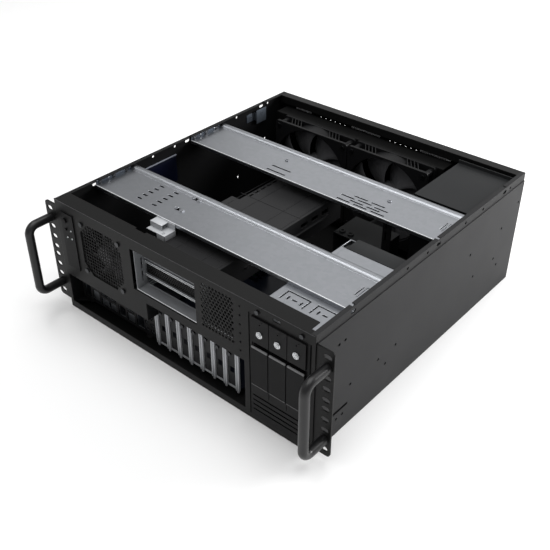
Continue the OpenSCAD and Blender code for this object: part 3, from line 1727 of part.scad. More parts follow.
module cable(route) {
  p = rounder(rounder(route));
  n = len(p);
  m = cable_sides;
  polyhedron(
    [for (i = [0:n - 1]) each ring(p, i)],
    [
      [for (k = [0:m - 1]) m - 1 - k],
      for (i = [0:n - 2], k = [0:m - 1])
        [i * m + k, i * m + (k + 1) % m, (i + 1) * m + (k + 1) % m, (i + 1) * m + k],
      [for (k = [0:m - 1]) (n - 1) * m + k]
    ]
  );
}

module cables() {
  color("#161617") placed()
    for (r = cable_routes)
      cable(r);
}

base_pan();
left_side_wall();
right_side_wall();
rear_panel();
front_panel();
io_recess();
io_shield();
slot_frame();
slot_covers();
riser_slot_frame();
riser_slot_cover();
fan_grille();
front_fan_frame();
front_fan_rotor();
control_panel();
power_button();
reset_button();
control_board();
left_rack_ear();
right_rack_ear();
left_handle();
right_handle();
handle_screws();
front_crossbar();
rear_crossbar();
panel_screws();
fan_screws();
card_holder_bracket();
wall_bracket();
drive_cage();
drive_bay_frame();
drive_backplane();
drive_tray_1();
drive_tray_2();
drive_tray_3();
drive_lever_1();
drive_lever_2();
drive_lever_3();
drive_lock_1();
drive_lock_2();
drive_lock_3();
hard_drive_1();
hard_drive_2();
hard_drive_3();
rear_fan_bracket();
left_rear_fan_frame();
right_rear_fan_frame();
left_rear_fan_rotor();
right_rear_fan_rotor();
power_supply();
power_supply_cover();
mainboard();
board_standoffs();
io_ports();
cpu_cooler();
memory_modules();
expansion_card();
crossbar_post();
ssd_cage();
cables();
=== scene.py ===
import math

import bpy
from mathutils import Matrix, Vector


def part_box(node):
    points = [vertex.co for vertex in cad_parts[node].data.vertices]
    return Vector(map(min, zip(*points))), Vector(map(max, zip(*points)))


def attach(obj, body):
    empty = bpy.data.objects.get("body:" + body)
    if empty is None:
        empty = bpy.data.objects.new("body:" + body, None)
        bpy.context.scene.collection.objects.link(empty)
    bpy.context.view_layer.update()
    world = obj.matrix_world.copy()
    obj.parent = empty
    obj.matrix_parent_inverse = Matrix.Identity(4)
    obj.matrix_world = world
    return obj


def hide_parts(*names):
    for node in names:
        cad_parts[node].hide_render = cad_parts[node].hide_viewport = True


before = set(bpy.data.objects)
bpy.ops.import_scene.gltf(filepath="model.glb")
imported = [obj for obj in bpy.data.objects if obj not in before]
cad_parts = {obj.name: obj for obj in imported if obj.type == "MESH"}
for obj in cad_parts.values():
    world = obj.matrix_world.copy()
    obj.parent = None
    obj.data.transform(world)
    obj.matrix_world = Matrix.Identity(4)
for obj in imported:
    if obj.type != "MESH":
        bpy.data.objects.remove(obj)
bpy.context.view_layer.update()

# The script's own numbers are millimetres, and MM turns them into the frame's metres
MM = 0.001

# Camera, fitted to the photograph: its direction in degrees, its place in metres and its lens
CAMERA_AZIMUTH = 40.621
CAMERA_ELEVATION = 35.228
CAMERA_PLACE = Vector((0.6092, -0.7324, 0.7115))
CAMERA_LENS = 53.97
CAMERA_SENSOR = 36

# Soft lights: place, the point that each faces, width in metres and watts
LIGHTS = {
    "top_light": ((0.1, -0.1, 2.6), (0, 0, 0), 2.6, 56),
    "edge_light": ((-1.3, 0.15, 2.1), (0, 0, 0.15), 0.6, 4),
    "key_light": ((-1.5, -1.65, 1.85), (0, 0, 0.1), 0.6, 3),
    "rear_light": ((-1.05, 2.3, 1.6), (0, 0.1, 0.15), 2.0, 8),
    "right_light": ((1.1, 1.35, 0.7), (0.2, 0.35, 0.05), 0.7, 28),
}
# Strength of the white surroundings as a light, and as the camera sees them
SKY_LIGHT, SKY_SEEN = 0.4, 1.0
FLOOR_WIDTH = 7
FLOOR_DROP = 0.0005

# Depth of the front panel's plane in front of the frame's origin
FRONT = 211
# Heights of the crossbars' flat top, of the drive cage's top and of the long card's top
BAR_TOP, CAGE_TOP, CARD_TOP = 167.5, 162.0, 150
# Inner faces of the left wall and of the rear panel, and the trays' front face
WALL_FACE, REAR_FACE, TRAY_FACE = -216.3, 461.8, -2.2
BAYS = (1, 2, 3)


# ---- Materials ----

# Width of the slow patches of colour and of gloss on a coat
COLOUR_PATCH, GLOSS_PATCH = 90, 60
# How far the gloss strays, and how high the grain stands
GLOSS_STRAY, GRAIN_HEIGHT = 0.02, 0.05
# The middle range of Blender's noise, which the maps spread
NOISE_LOW, NOISE_HIGH = 0.3, 0.7
# Grain size of the zinc's spangle, the width of its gloss patches and of its rolled waves
SPANGLE, ZINC_PATCH, ZINC_WAVE = 5, 70, 3


def add(tree, kind, inputs=None, **options):
    """Adds a node with its settings, and its input values or links."""
    node = tree.nodes.new(kind)
    for name, value in options.items():
        setattr(node, name, value)
    for name, value in (inputs or {}).items():
        socket = node.inputs[name]
        if isinstance(value, bpy.types.NodeSocket):
            tree.links.new(value, socket)
        else:
            socket.default_value = value
    return node


def linear(code):
    """The linear colour of an sRGB hex code."""
    parts = [int(code[i:i + 2], 16) / 255 for i in (1, 3, 5)]
    return tuple(c / 12.92 if c <= 0.04045 else ((c + 0.055) / 1.055) ** 2.4 for c in parts) + (1,)


def blank(name):
    """A new material with an empty tree, its output and object coordinates."""
    material = bpy.data.materials.new(name)
    material.use_nodes = True
    tree = material.node_tree
    tree.nodes.clear()
    output = add(tree, "ShaderNodeOutputMaterial")
    place = add(tree, "ShaderNodeTexCoord").outputs["Object"]
    return material, tree, output, place


def coated(name, dark, light, rough, grain_mm, depth, edge_mm=0.35, metal=0.0, level=0.15):
    """A coat or moulding: slow colour change, fine grain in the bump and softened edges."""
    material, tree, output, place = blank(name)
    clouds = add(tree, "ShaderNodeTexNoise", {
        "Vector": place, "Scale": 1 / (COLOUR_PATCH * MM), "Detail": 2})
    tone = add(tree, "ShaderNodeMapRange", {
        "Value": clouds.outputs["Fac"], "From Min": NOISE_LOW, "From Max": NOISE_HIGH})
    colour = add(tree, "ShaderNodeMix", {
        "Factor": tone.outputs["Result"], "A": linear(dark), "B": linear(light)}, data_type="RGBA")
    patches = add(tree, "ShaderNodeTexNoise", {
        "Vector": place, "Scale": 1 / (GLOSS_PATCH * MM), "Detail": 3})
    gloss = add(tree, "ShaderNodeMapRange", {
        "Value": patches.outputs["Fac"], "From Min": NOISE_LOW, "From Max": NOISE_HIGH,
        "To Min": rough - GLOSS_STRAY, "To Max": rough + GLOSS_STRAY})
    rounded = add(tree, "ShaderNodeBevel", {"Radius": edge_mm * MM}, samples=4)
    grain = add(tree, "ShaderNodeTexNoise", {
        "Vector": place, "Scale": 1 / (grain_mm * MM), "Detail": 3})
    bump = add(tree, "ShaderNodeBump", {
        "Strength": depth, "Distance": GRAIN_HEIGHT * MM, "Height": grain.outputs["Fac"],
        "Normal": rounded.outputs["Normal"]})
    shader = add(tree, "ShaderNodeBsdfPrincipled", {
        "Base Color": colour.outputs["Result"], "Roughness": gloss.outputs["Result"],
        "Metallic": metal, "Specular IOR Level": level, "Normal": bump.outputs["Normal"]})
    tree.links.new(shader.outputs["BSDF"], output.inputs["Surface"])
    return material


def galvanised(name, dark, light):
    """Skin-passed galvanised sheet: dull metal with faint spangle and rolled waves."""
    material, tree, output, place = blank(name)
    spangle = add(tree, "ShaderNodeTexVoronoi", {"Vector": place, "Scale": 1 / (SPANGLE * MM)})
    crystal = add(tree, "ShaderNodeSeparateColor", {"Color": spangle.outputs["Color"]})
    colour = add(tree, "ShaderNodeMix", {
        "Factor": crystal.outputs["Red"], "A": linear(dark), "B": linear(light)}, data_type="RGBA")
    patches = add(tree, "ShaderNodeTexNoise", {
        "Vector": place, "Scale": 1 / (ZINC_PATCH * MM), "Detail": 2})
    gloss = add(tree, "ShaderNodeMapRange", {
        "Value": patches.outputs["Fac"], "From Min": NOISE_LOW, "From Max": NOISE_HIGH,
        "To Min": 0.33, "To Max": 0.36})
    rounded = add(tree, "ShaderNodeBevel", {"Radius": 1.1 * MM}, samples=6)
    waves = add(tree, "ShaderNodeTexNoise", {
        "Vector": place, "Scale": 1 / (ZINC_WAVE * MM), "Detail": 2})
    bump = add(tree, "ShaderNodeBump", {
        "Strength": 0.03, "Distance": GRAIN_HEIGHT * MM, "Height": waves.outputs["Fac"],
        "Normal": rounded.outputs["Normal"]})
    shader = add(tree, "ShaderNodeBsdfPrincipled", {
        "Base Color": colour.outputs["Result"], "Roughness": gloss.outputs["Result"],
        "Metallic": 1.0, "Normal": bump.outputs["Normal"]})
    tree.links.new(shader.outputs["BSDF"], output.inputs["Surface"])
    return material


# Powder coat, textured: matt black with a fine orange peel that breaks up highlights
powder_black = coated(
    "powder_coat_black", "#0d0d0d", "#0f0f0f", rough=0.42, grain_mm=1.1, depth=0.25, edge_mm=0.9)
# The same black coat on the right wall, painted greyer as a lit copy, for the light that rakes over it
powder_side_painted_lit = coated("powder_coat_side_painted_lit", "#212122", "#242425", rough=0.5, grain_mm=1.1, depth=0.3)
# The same black coat on the left wall, painted as a shaded copy, darker than the right wall's, for the
# shade on its inner face
powder_inner_painted_shade = coated("powder_coat_inner_painted_shade", "#101011", "#131314", rough=0.5, grain_mm=1.1, depth=0.3)
# Painted highlight: a grey strip of the powder coat along the front panel's top bend, standing in for the
# light the bend catches
powder_painted_highlight = coated("powder_painted_highlight", "#4a4a4c", "#525254", rough=0.35, grain_mm=2, depth=0.05)
# Painted light on the ribs in the rear louvres: a near-white coat that makes them read grey in the shade
# of the hem
rib_coat_painted_pale = coated("rib_coat_painted_pale", "#d8d9da", "#e2e3e4", rough=0.5, grain_mm=1.1, depth=0.1, level=0.4)
# Black coated inner sheets, smoother than the outside
black_sheet = coated("black_sheet", "#0e0e0f", "#131314", rough=0.45, grain_mm=2.5, depth=0.12)
# Matt grey-black coat of the slot covers
cover_coat = coated("cover_coat", "#2a2a2b", "#303031", rough=0.5, grain_mm=1.2, depth=0.15)
# Dark grey coat of the cover over the power supply and of the dark sheet over the rear of the drive cage
grey_sheet = coated("grey_sheet", "#1f2021", "#232425", rough=0.5, grain_mm=1.4, depth=0.2)
# Grey coated steel of the power supply's own case
supply_coat = coated("supply_coat", "#2c2d2f", "#333436", rough=0.5, grain_mm=1.2, depth=0.2)
# Satin black anodised bar of the handles, which gleams along its bends
handle_coat = coated(
    "handle_coat", "#121213", "#161617", rough=0.34, grain_mm=1.2, depth=0.05, edge_mm=0.6, level=0.4)
# Anodised shroud of the long card, a soft dark grey
card_anodised = coated("card_anodised", "#212122", "#252526", rough=0.45, grain_mm=1.5, depth=0.15)

# Galvanised steel of the crossbars and the cage: bright grey with barely seen spangle
zinc_sheet = galvanised("galvanised_sheet", "#979a9e", "#9c9ea3")
# Painted highlight: near-white zinc strips along the sharp bends of the galvanised sheet, standing in for
# the light those bends catch
zinc_painted_highlight = coated("zinc_painted_highlight", "#e4e6ea", "#eef0f3", rough=0.3, grain_mm=4, depth=0.02, metal=0.25)
# Dull zinc of the slot dividers and the card holder: grey, with little shine
dull_zinc = coated(
    "dull_zinc", "#b4b6b9", "#bfc1c4", rough=0.5, grain_mm=3, depth=0.08, edge_mm=0.6, metal=0.3)
# The same zinc on the riser's frame, which stands in the shade of the panel
shaded_zinc = coated(
    "shaded_zinc", "#7e8083", "#888a8d", rough=0.5, grain_mm=3, depth=0.08, edge_mm=0.6, metal=0.3)
# Darker blue-grey copy of the zinc on the small bracket and the crossbars' end flanges: painted shade,
# where they stand in the shade against the left wall
blue_zinc_painted_shade = coated("blue_zinc_painted_shade", "#4c525a", "#565c64", rough=0.45, grain_mm=3, depth=0.08, metal=0.4)
# Zinc-plated screws, bright and slightly worn
zinc_screw = coated("zinc_screw", "#9a9c9e", "#b4b5b7", rough=0.3, grain_mm=1, depth=0.05, metal=1.0)
# Black oxide screws, dark with a metal gleam
black_screw = coated("black_screw", "#3a3b3d", "#4a4b4d", rough=0.35, grain_mm=1, depth=0.05, metal=1.0)
# Bright chrome of the locks, which mirrors the room
chrome = coated(
    "bright_chrome", "#c9cbcd", "#dadcde", rough=0.12, grain_mm=2, depth=0.02, edge_mm=0.3, metal=1.0)
# Nickel-plated shells of the ports, greyish and half dull
nickel = coated("nickel_shell", "#707377", "#84878b", rough=0.32, grain_mm=2, depth=0.05, metal=1.0)
# Cast and machined aluminium of the cooler and the drives
cast_aluminium = coated(
    "cast_aluminium", "#8b8e92", "#9da0a4", rough=0.4, grain_mm=1, depth=0.1, metal=1.0)
# Turned brass of the standoffs, yellow and bright
turned_brass = coated(
    "turned_brass", "#a8873e", "#b89a52", rough=0.28, grain_mm=1, depth=0.05, metal=1.0)

# Moulded ABS with a fine spark-eroded grain
grained_abs = coated("grained_abs", "#0a0a0b", "#0d0d0e", rough=0.5, grain_mm=0.9, depth=0.3)
# Moulded ABS, satin, on the levers and buttons
satin_abs = coated("satin_abs", "#060607", "#080809", rough=0.42, grain_mm=1.6, depth=0.12, level=0.1)
# Painted highlight on the levers: a paler satin grey on their top edge and on a fine line near the foot,
# where those edges catch the light
lever_painted_highlight = coated("lever_painted_highlight", "#6c6c6d", "#747475", rough=0.4, grain_mm=1.2, depth=0.1)
# Glass-filled nylon of the fan frames, slightly shiny
fan_nylon = coated("fan_nylon", "#131314", "#161617", rough=0.42, grain_mm=2.0, depth=0.15)
# The same nylon on the blades, painted paler as a lit copy, for the light on their broad faces
rotor_nylon_painted_lit = coated(
    "rotor_nylon_painted_lit", "#48484a", "#4f4f51", rough=0.38, grain_mm=2.0, depth=0.08, level=0.3)
# Open-cell black foam of the filters behind the rear fans, which takes nearly all light
filter_foam = coated("filter_foam", "#050505", "#080808", rough=0.9, grain_mm=0.8, depth=0.8, level=0.05)
# Soft cable sheath of matt black PVC
sheath = coated("cable_sheath", "#0c0c0d", "#101011", rough=0.5, grain_mm=1.5, depth=0.1)
# Navy polyester film, thin and glossy
film_navy = coated("film_navy", "#050818", "#080c22", rough=0.3, grain_mm=6, depth=0.08, level=0.4)
# Painted highlight: the film's folded upper edge in pale grey, for the light it catches
film_edge_painted_highlight = coated("film_edge_painted_highlight", "#7e828c", "#8b8f99", rough=0.35, grain_mm=3, depth=0.05)
# Clear acrylic of the lamps on the control strip, over a white core
lamp_lens = coated("lamp_lens", "#c4c8cc", "#d2d5d8", rough=0.15, grain_mm=2, depth=0.02, level=0.5)
# Solder mask of the mainboard, dark blue and glossy over its fibre weave
mask_blue = coated("solder_mask_blue", "#0a0e17", "#0e131f", rough=0.3, grain_mm=1.2, depth=0.1)
# Solder mask of the small boards, dark green
mask_green = coated("solder_mask_green", "#16301f", "#1c3a27", rough=0.3, grain_mm=1.2, depth=0.1)

FINISH = {
    "base_pan": powder_black, "left_side_wall": powder_inner_painted_shade, "right_side_wall": powder_side_painted_lit,
    "rear_panel": powder_black, "front_panel": powder_black, "io_recess": black_sheet,
    "io_shield": black_sheet, "slot_frame": dull_zinc, "slot_covers": cover_coat,
    "riser_slot_frame": shaded_zinc, "riser_slot_cover": black_sheet, "fan_grille": powder_black,
    "front_fan_frame": fan_nylon, "front_fan_rotor": rotor_nylon_painted_lit, "control_panel": grained_abs,
    "power_button": satin_abs, "reset_button": satin_abs, "control_board": mask_green,
    "left_rack_ear": powder_black, "right_rack_ear": powder_black, "left_handle": handle_coat,
    "right_handle": handle_coat, "handle_screws": zinc_screw, "front_crossbar": zinc_sheet,
    "rear_crossbar": zinc_sheet, "panel_screws": black_screw, "fan_screws": black_screw,
    "card_holder_bracket": dull_zinc, "wall_bracket": blue_zinc_painted_shade, "drive_cage": zinc_sheet,
    "drive_bay_frame": grained_abs, "drive_backplane": mask_green, "rear_fan_bracket": powder_black,
    "left_rear_fan_frame": fan_nylon, "right_rear_fan_frame": fan_nylon,
    "left_rear_fan_rotor": rotor_nylon_painted_lit, "right_rear_fan_rotor": rotor_nylon_painted_lit,
    "power_supply": supply_coat, "power_supply_cover": grey_sheet, "mainboard": mask_blue,
    "board_standoffs": turned_brass, "io_ports": nickel, "cpu_cooler": cast_aluminium,
    "memory_modules": mask_green, "expansion_card": card_anodised, "crossbar_post": black_sheet,
    "ssd_cage": grey_sheet, "cables": sheath,
}
for bay in BAYS:
    FINISH[f"drive_tray_{bay}"] = grained_abs
    FINISH[f"drive_lever_{bay}"] = satin_abs
    FINISH[f"drive_lock_{bay}"] = chrome
    FINISH[f"hard_drive_{bay}"] = cast_aluminium

for name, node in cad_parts.items():
    node.data.materials.clear()
    node.data.materials.append(FINISH[name])


# ---- How a piece is made ----

# Turn that makes an upright head face up, to the front or to the right
TURNS = {"up": (0, 0, 0), "front": (math.pi / 2, 0, 0), "right": (0, math.pi / 2, 0)}


def at(x, y, z):
    """A point in the frame, from mm across, behind the front panel and above the underside."""
    return Vector((x, y - FRONT, z)) * MM


def soften(piece, edge_mm):
    """Rounds the piece's edges and shades it smooth up to 40 degrees."""
    bevel = piece.modifiers.new("edges", "BEVEL")
    bevel.width = edge_mm * MM
    bevel.segments = 2
    bevel.limit_method = "ANGLE"
    bpy.ops.object.modifier_apply(modifier=bevel.name)
    bpy.ops.object.shade_smooth_by_angle(angle=math.radians(40))


def bar(low, high, edge_mm):
    """A bar between two corners, with rounded edges."""
    bpy.ops.object.select_all(action="DESELECT")
    low, high = at(*low), at(*high)
    bpy.ops.mesh.primitive_cube_add(size=1, location=(low + high) / 2, scale=high - low)
    bpy.ops.object.transform_apply(location=True, rotation=True, scale=True)
    soften(bpy.context.object, edge_mm)
    return bpy.context.object


def collar(place, facing, wide, tall, bore, deep, edge_mm=0.25, sides=28):
    """A round head that stands on a face, with a bore sunk into its top."""
    bpy.ops.object.select_all(action="DESELECT")
    bpy.ops.mesh.primitive_cylinder_add(
        vertices=sides, radius=wide / 2 * MM, depth=tall * MM, end_fill_type="NGON",
        location=(0, 0, tall / 2 * MM))
    bpy.ops.object.transform_apply(location=True, rotation=True, scale=True)
    piece = bpy.context.object
    for face in piece.data.polygons:
        face.select = face.normal.z > 0.9
    bpy.ops.object.mode_set(mode="EDIT")
    bpy.ops.mesh.select_mode(type="FACE")
    bpy.ops.mesh.inset(thickness=(wide - bore) / 2 * MM)
    bpy.ops.mesh.extrude_region_move(TRANSFORM_OT_translate={"value": (0, 0, -deep * MM)})
    bpy.ops.object.mode_set(mode="OBJECT")
    soften(piece, edge_mm)
    piece.rotation_euler = TURNS[facing]
    piece.location = at(*place)
    bpy.ops.object.transform_apply(location=True, rotation=True, scale=True)
    return piece


def joined(name, pieces, finish, body):
    """Joins pieces that are one fitting, and gives the result its finish, body and slot."""
    bpy.ops.object.select_all(action="DESELECT")
    for piece in pieces:
        piece.select_set(True)
    bpy.context.view_layer.objects.active = pieces[0]
    if len(pieces) > 1:
        bpy.ops.object.join()
    piece = bpy.context.object
    piece.name = piece.data.name = name
    piece.data.materials.clear()
    piece.data.materials.append(finish)
    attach(piece, body)
    return piece


# ---- Pieces on the chassis ----

def crossbar_fittings():
    """Drawn collars, bead screws and folded end tabs on the two crossbars."""
    collars = [collar((x, y, BAR_TOP), "up", 5.6, 1.3, 3.2, 1.2) for x, y in (
        (-87, 127), (-86.5, 94.3), (-63.5, 289), (112.5, 287.8))]
    joined("crossbar_collars", collars, zinc_sheet, "chassis")
    screws = [collar((x, y, BAR_TOP), "up", 5.4, 2.0, 2.2, 0.9, 0.5) for x, y in (
        (202.6, 131.5), (202.2, 312.5), (-203.5, 133), (-202, 312.6))]
    joined("crossbar_screws", screws, zinc_screw, "chassis")
    x, tab_top = 202.6, BAR_TOP + 0.7
    tabs = []
    for near, far in ((90.4, 112.7), (269, 291)):
        tabs.append(bar((x - 0.6, near, BAR_TOP), (x + 0.6, far, tab_top), 0.3))
        tabs.append(bar((x - 0.6, far - 1.2, BAR_TOP), (x + 4.5, far, tab_top), 0.3))
    joined("crossbar_end_tabs", tabs, zinc_sheet, "chassis")


def painted_bend_highlights():
    """Painted highlights: pale rounded lines along the sharpest bends of the crossbars, the riser frame
    and the front panel, and a pale strip painted as light behind the slot over the bay.
    """
    # Painted highlights along the crossbars' front bends
    lines = [bar((-213.5, y - 0.15, BAR_TOP - 1.0), (213.5, y + 0.9, BAR_TOP + 0.15), 0.45)
             for y in (66, 246)]
    joined("crossbar_painted_highlights", lines, zinc_painted_highlight, "chassis")
    # Painted highlights along the folds of the riser's frame
    folds = [bar((-64.5, 15.3, z), (44.2, 15.9, z + 0.7), 0.25) for z in (113.6, 116.0, 134.0, 136.4)]
    folds += [bar((-66.4, 1.0, z), (43.9, 1.7, z + 0.7), 0.25) for z in (161.6, 99.2)]
    joined("riser_painted_highlights", folds, zinc_painted_highlight, "chassis")
    # Painted light: a near-white strip behind the slot over the bay, standing in for the light seen
    # through the slot
    clip = bar((165.9, 0.4, 167.9), (175.1, 1.0, 169.5), 0.2)
    joined("bay_slot_painted_light", [clip], zinc_painted_highlight, "chassis")
    # Painted highlight along the front panel's top bend
    front = bar((-216.5, -0.12, 173.5), (216.5, 0.6, 174.45), 0.35)
    joined("front_painted_highlight", [front], powder_painted_highlight, "chassis")


def end_flanges():
    """Flanges at the crossbars' left ends, with their screws, in the darker blue-grey zinc painted as
    their shade.
    """
    flange_back, flange_face = -214.3, -213.6
    plates, screws = [], []
    for near, far, rows in ((66.5, 128, (88, 118)), (246.5, 307, (266, 296))):
        plates.append(bar((flange_back, near, 167.3), (flange_face, far, 173.0), 0.3))
        screws += [collar((flange_face, y, 170.2), "right", 2.6, 0.5, 1.2, 0.3, 0.1, 16)
                   for y in rows]
    joined("end_flanges", plates, blue_zinc_painted_shade, "chassis")
    joined("end_flange_screws", screws, zinc_screw, "chassis")


def card_holder():
    """Stepped holder under the front crossbar, folded from one strip, with its webs on the card."""
    left, step, right = -92.5, -71.5, -59.5
    front, middle, back = 46.4, 53.5, 66
    sheet = 1.2
    pieces = [
        # Upper step: its top and its front lip
        bar((left, middle, 164.6), (step, back, 164.6 + sheet), 0.4),
        bar((left, middle, 157.4), (step, middle + sheet, 165.6), 0.4),
        # Lower step: its top, its right web and its front web, which stand on the card
        bar((left, front, 156.8), (right, back, 156.8 + sheet), 0.4),
        bar((right - sheet, front, CARD_TOP), (right, back, 157.8), 0.4),
        bar((-74.0, front, CARD_TOP), (right, front + sheet, 157.8), 0.4),
        # Back web, against the crossbar, and the collar of its screw
        bar((left, back - sheet, 157.4), (right, back, 166.3), 0.4),
        collar((-66, 51, 156.8 + sheet), "up", 4.2, 0.9, 2.0, 0.7)]
    holder = joined("card_holder", pieces, dull_zinc, "chassis")
    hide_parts("card_holder_bracket")


def side_bracket():
    """Z-shaped bracket on the left wall: a foot, a web and a taller plate with holes."""
    sheet, plate = 1.2, -209.2
    foot = WALL_FACE + sheet
    pieces = [
        bar((WALL_FACE, 371, 150), (foot, 389, 163.5), 0.4),
        bar((WALL_FACE, 389 - sheet, 150), (plate, 389, 163.5), 0.4),
        bar((plate - sheet, 389 - sheet, 144.9), (plate, 411, 167.5), 1.0),
        collar((foot, 380, 157), "right", 4.6, 1.0, 2.2, 0.8),
        collar((plate, 400, 160), "right", 4.6, 0.7, 2.6, 0.6)]
    # Its darker blue-grey zinc is painted shade
    bracket = joined("side_bracket", pieces, blue_zinc_painted_shade, "chassis")
    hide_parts("wall_bracket")


def rear_filters():
    """Framed foam filters that close the fan bracket towards the rear panel."""
    low, high = 14, 149
    pads = []
    for x in (-111, 31):
        pads.append(bar((x - 69.5, 455.0, low), (x + 69.5, 457.5, high), 0.8))
        for side in (-1, 1):
            rail_x, rail_z = x + side * 68, (low + high) / 2 + side * 66
            pads.append(bar((rail_x - 1.5, 454.4, low), (rail_x + 1.5, 458.4, high), 0.4))
            pads.append(bar((x - 69.5, 454.4, rail_z - 1.5), (x + 69.5, 458.4, rail_z + 1.5), 0.4))
    joined("rear_filters", pads, filter_foam, "chassis")


def power_inlet():
    """Moulded inlet of the power supply, with its rim and three blades."""
    front, back = 454.6, 462.6
    pieces = [bar((159.7, 454.0, 12.7), (183.7, 455.4, 29.7), 0.5)]
    for left, right, low, high in (
            (159.0, 184.4, 28.6, 30.4), (159.0, 184.4, 12.0, 13.8),
            (159.0, 160.8, 12.4, 30.0), (182.6, 184.4, 12.4, 30.0)):
        pieces.append(bar((left, front, low), (right, back, high), 0.4))
    joined("power_inlet", pieces, grained_abs, "chassis")
    blades = [bar((x - 1, 455.2, z - 2.2), (x + 1, 461.4, z + 2.2), 0.4)
              for x, z in ((165.2, 19.6), (178.2, 19.6), (171.7, 23.4))]
    joined("inlet_blades", blades, zinc_screw, "chassis")


def bay_seam():
    """Black rubber seam along both sides of the drive bay's opening in the front panel."""
    seams = [bar((x - 0.8, -0.25, 8), (x + 0.8, 0.4, 160), 0.1) for x in (124.2, 211.4)]
    joined("bay_seam", seams, filter_foam, "chassis")


def rear_vent_ribs():
    """Upright ribs across the three long louvres at the top of the rear panel, coated near-white as
    painted light against the shade of the hem.
    """
    rib_pitch = 3
    ribs = []
    for middle, length in ((-171, 32), (-47.5, 55), (77.5, 53)):
        count = round(length / rib_pitch)
        for k in range(count):
            x = middle - length / 2 + (k + 0.5) * length / count
            ribs.append(bar((x - 1.0, REAR_FACE - 2, 153.4), (x + 1.0, REAR_FACE, 157.8), 0.4))
    joined("rear_vent_ribs", ribs, rib_coat_painted_pale, "chassis")


def cage_rear_dark_sheet():
    """Dark grey sheet over the rear end of the drive cage's top: a top with a lip behind."""
    top = bar((132.5, 166.5, CAGE_TOP), (212.5, 191.8, CAGE_TOP + 1.6), 0.6)
    lip = bar((132.5, 190.2, CAGE_TOP - 16), (212.5, 191.8, CAGE_TOP + 1.0), 0.6)
    joined("cage_rear_dark_sheet", [top, lip], grey_sheet, "chassis")


def wall_film():
    """Navy insulating film on the left wall, with its upper edge folded over and painted pale as a
    highlight.
    """
    sheet = bar((WALL_FACE, 120, 112), (WALL_FACE + 0.6, 216, 155.2), 0.2)
    fold = bar((WALL_FACE, 120, 154.2), (WALL_FACE + 2, 216, 155.8), 0.5)
    joined("wall_film", [sheet], film_navy, "chassis")
    joined("wall_film_fold", [fold], film_edge_painted_highlight, "chassis")


def strip_lenses():
    """Clear lenses of the lamps on the control strip."""
    lenses = [collar((x, -1.4, z), "front", 2.2, 0.7, 1.0, 0.2, 0.3, 20)
              for x, z in ((-188.2, 136), (-197.3, 123.4), (-188.1, 123.9))]
    joined("strip_lenses", lenses, lamp_lens, "chassis")


def card_lines():
    """Shallow ridges and a row of short pads on the top of the long card."""
    ridge_top = CARD_TOP + 0.35
    ridges = [bar((x, 30, CARD_TOP), (x + 0.8, 280, ridge_top), 0.15) for x in (-66, -40, 4, 30)]
    ridges += [bar((-72, y, CARD_TOP), (36, y + 0.8, ridge_top), 0.15) for y in (60, 130, 200, 270)]
    joined("card_ridges", ridges, card_anodised, "chassis")
    # Every second pad is 1 mm longer
    pads = [bar((-60, 212 + 7 * k, CARD_TOP), (-56.5 + k % 2, 215.5 + 7 * k, CARD_TOP + 0.4), 0.15)
            for k in range(6)]
    joined("card_slot_pads", pads, fan_nylon, "chassis")


# ---- Pieces on the trays, levers and locks ----

def lever_edges():
    """Pale strip along the top edge of each drive lever and a pale fine line near its foot, both painted
    highlights.
    """
    for bay in BAYS:
        low, high = (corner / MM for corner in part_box(f"drive_lever_{bay}"))
        face = low.y + FRONT
        edge = bar((low.x + 0.6, face - 0.3, high.z - 2.4), (high.x - 0.6, face + 1.6, high.z + 0.2), 0.7)
        line = bar((low.x + 0.4, face - 0.15, low.z + 2.2), (high.x - 0.4, face + 0.4, low.z + 2.8), 0.1)
        joined(f"lever_edge_{bay}", [edge], lever_painted_highlight, f"lever_{bay}")
        joined(f"lever_line_{bay}", [line], lever_painted_highlight, f"lever_{bay}")


def lock_faces():
    """The raised ring and the core of each tubular lock, and the dark lamp above it."""
    for bay in BAYS:
        low, high = (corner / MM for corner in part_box(f"drive_lock_{bay}"))
        middle = (low + high) / 2
        place = (middle.x, low.y + FRONT, middle.z)
        ring = collar(place, "front", 6.6, 0.5, 4.6, 0.45, 0.12)
        core = collar(place, "front", 2.8, 0.5, 1.2, 0.3, 0.1)
        joined(f"lock_face_{bay}", [ring, core], chrome, f"lock_{bay}")
        lamp = collar((middle.x + 2.7, TRAY_FACE, 154.4), "front", 1.8, 0.4, 0.9, 0.3, 0.12, 16)
        joined(f"drive_lamp_{bay}", [lamp], fan_nylon, f"tray_{bay}")


# ---- Camera, floor and light ----

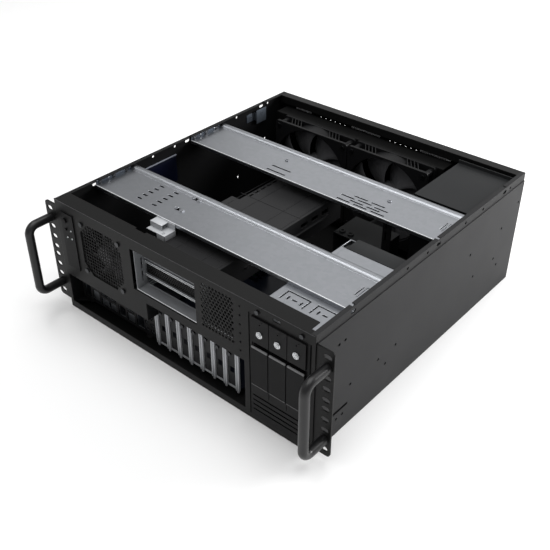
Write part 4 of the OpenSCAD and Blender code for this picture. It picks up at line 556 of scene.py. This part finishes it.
def camera():
    """The photograph's view of the case."""
    azimuth, elevation = math.radians(CAMERA_AZIMUTH), math.radians(CAMERA_ELEVATION)
    right = Vector((math.cos(azimuth), math.sin(azimuth), 0))
    back = Vector((math.sin(azimuth) * math.cos(elevation),
                   -math.cos(azimuth) * math.cos(elevation), math.sin(elevation)))
    up = back.cross(right)
    data = bpy.data.cameras.new("camera")
    data.lens = CAMERA_LENS
    data.sensor_width = CAMERA_SENSOR
    data.clip_end = 50
    item = bpy.data.objects.new("camera", data)
    item.matrix_world = Matrix((right, up, back)).transposed().to_4x4()
    item.location = CAMERA_PLACE
    bpy.context.scene.collection.objects.link(item)
    bpy.context.scene.camera = item


def studio():
    """A plain pale floor, white surroundings and soft lights."""
    bpy.ops.mesh.primitive_plane_add(size=FLOOR_WIDTH, location=(0, 0, -FLOOR_DROP))
    floor = bpy.context.object
    floor.name = "floor"
    material, tree, output, place = blank("studio_floor")
    shader = add(tree, "ShaderNodeBsdfPrincipled", {"Base Color": linear("#fafafa"), "Roughness": 0.9})
    tree.links.new(shader.outputs["BSDF"], output.inputs["Surface"])
    floor.data.materials.append(material)

    world = bpy.data.worlds.new("studio")
    bpy.context.scene.world = world
    world.use_nodes = True
    tree = world.node_tree
    tree.nodes.clear()
    seen = add(tree, "ShaderNodeLightPath").outputs["Is Camera Ray"]
    strength = add(tree, "ShaderNodeMapRange", {"Value": seen, "To Min": SKY_LIGHT, "To Max": SKY_SEEN})
    sky = add(tree, "ShaderNodeBackground", {
        "Color": (1, 1, 1, 1), "Strength": strength.outputs["Result"]})
    output = add(tree, "ShaderNodeOutputWorld")
    tree.links.new(sky.outputs["Background"], output.inputs["Surface"])

    for name, (place, target, width, watts) in LIGHTS.items():
        data = bpy.data.lights.new(name, "AREA")
        data.shape = "SQUARE"
        data.size = width
        data.energy = watts
        item = bpy.data.objects.new(name, data)
        item.location = place
        item.rotation_euler = (Vector(target) - Vector(place)).to_track_quat("-Z", "Y").to_euler()
        bpy.context.scene.collection.objects.link(item)
    bpy.context.scene.view_settings.view_transform = "Standard"


crossbar_fittings()
painted_bend_highlights()
end_flanges()
card_holder()
side_bracket()
rear_filters()
power_inlet()
bay_seam()
rear_vent_ribs()
cage_rear_dark_sheet()
wall_film()
lever_edges()
lock_faces()
strip_lenses()
card_lines()
camera()
studio()
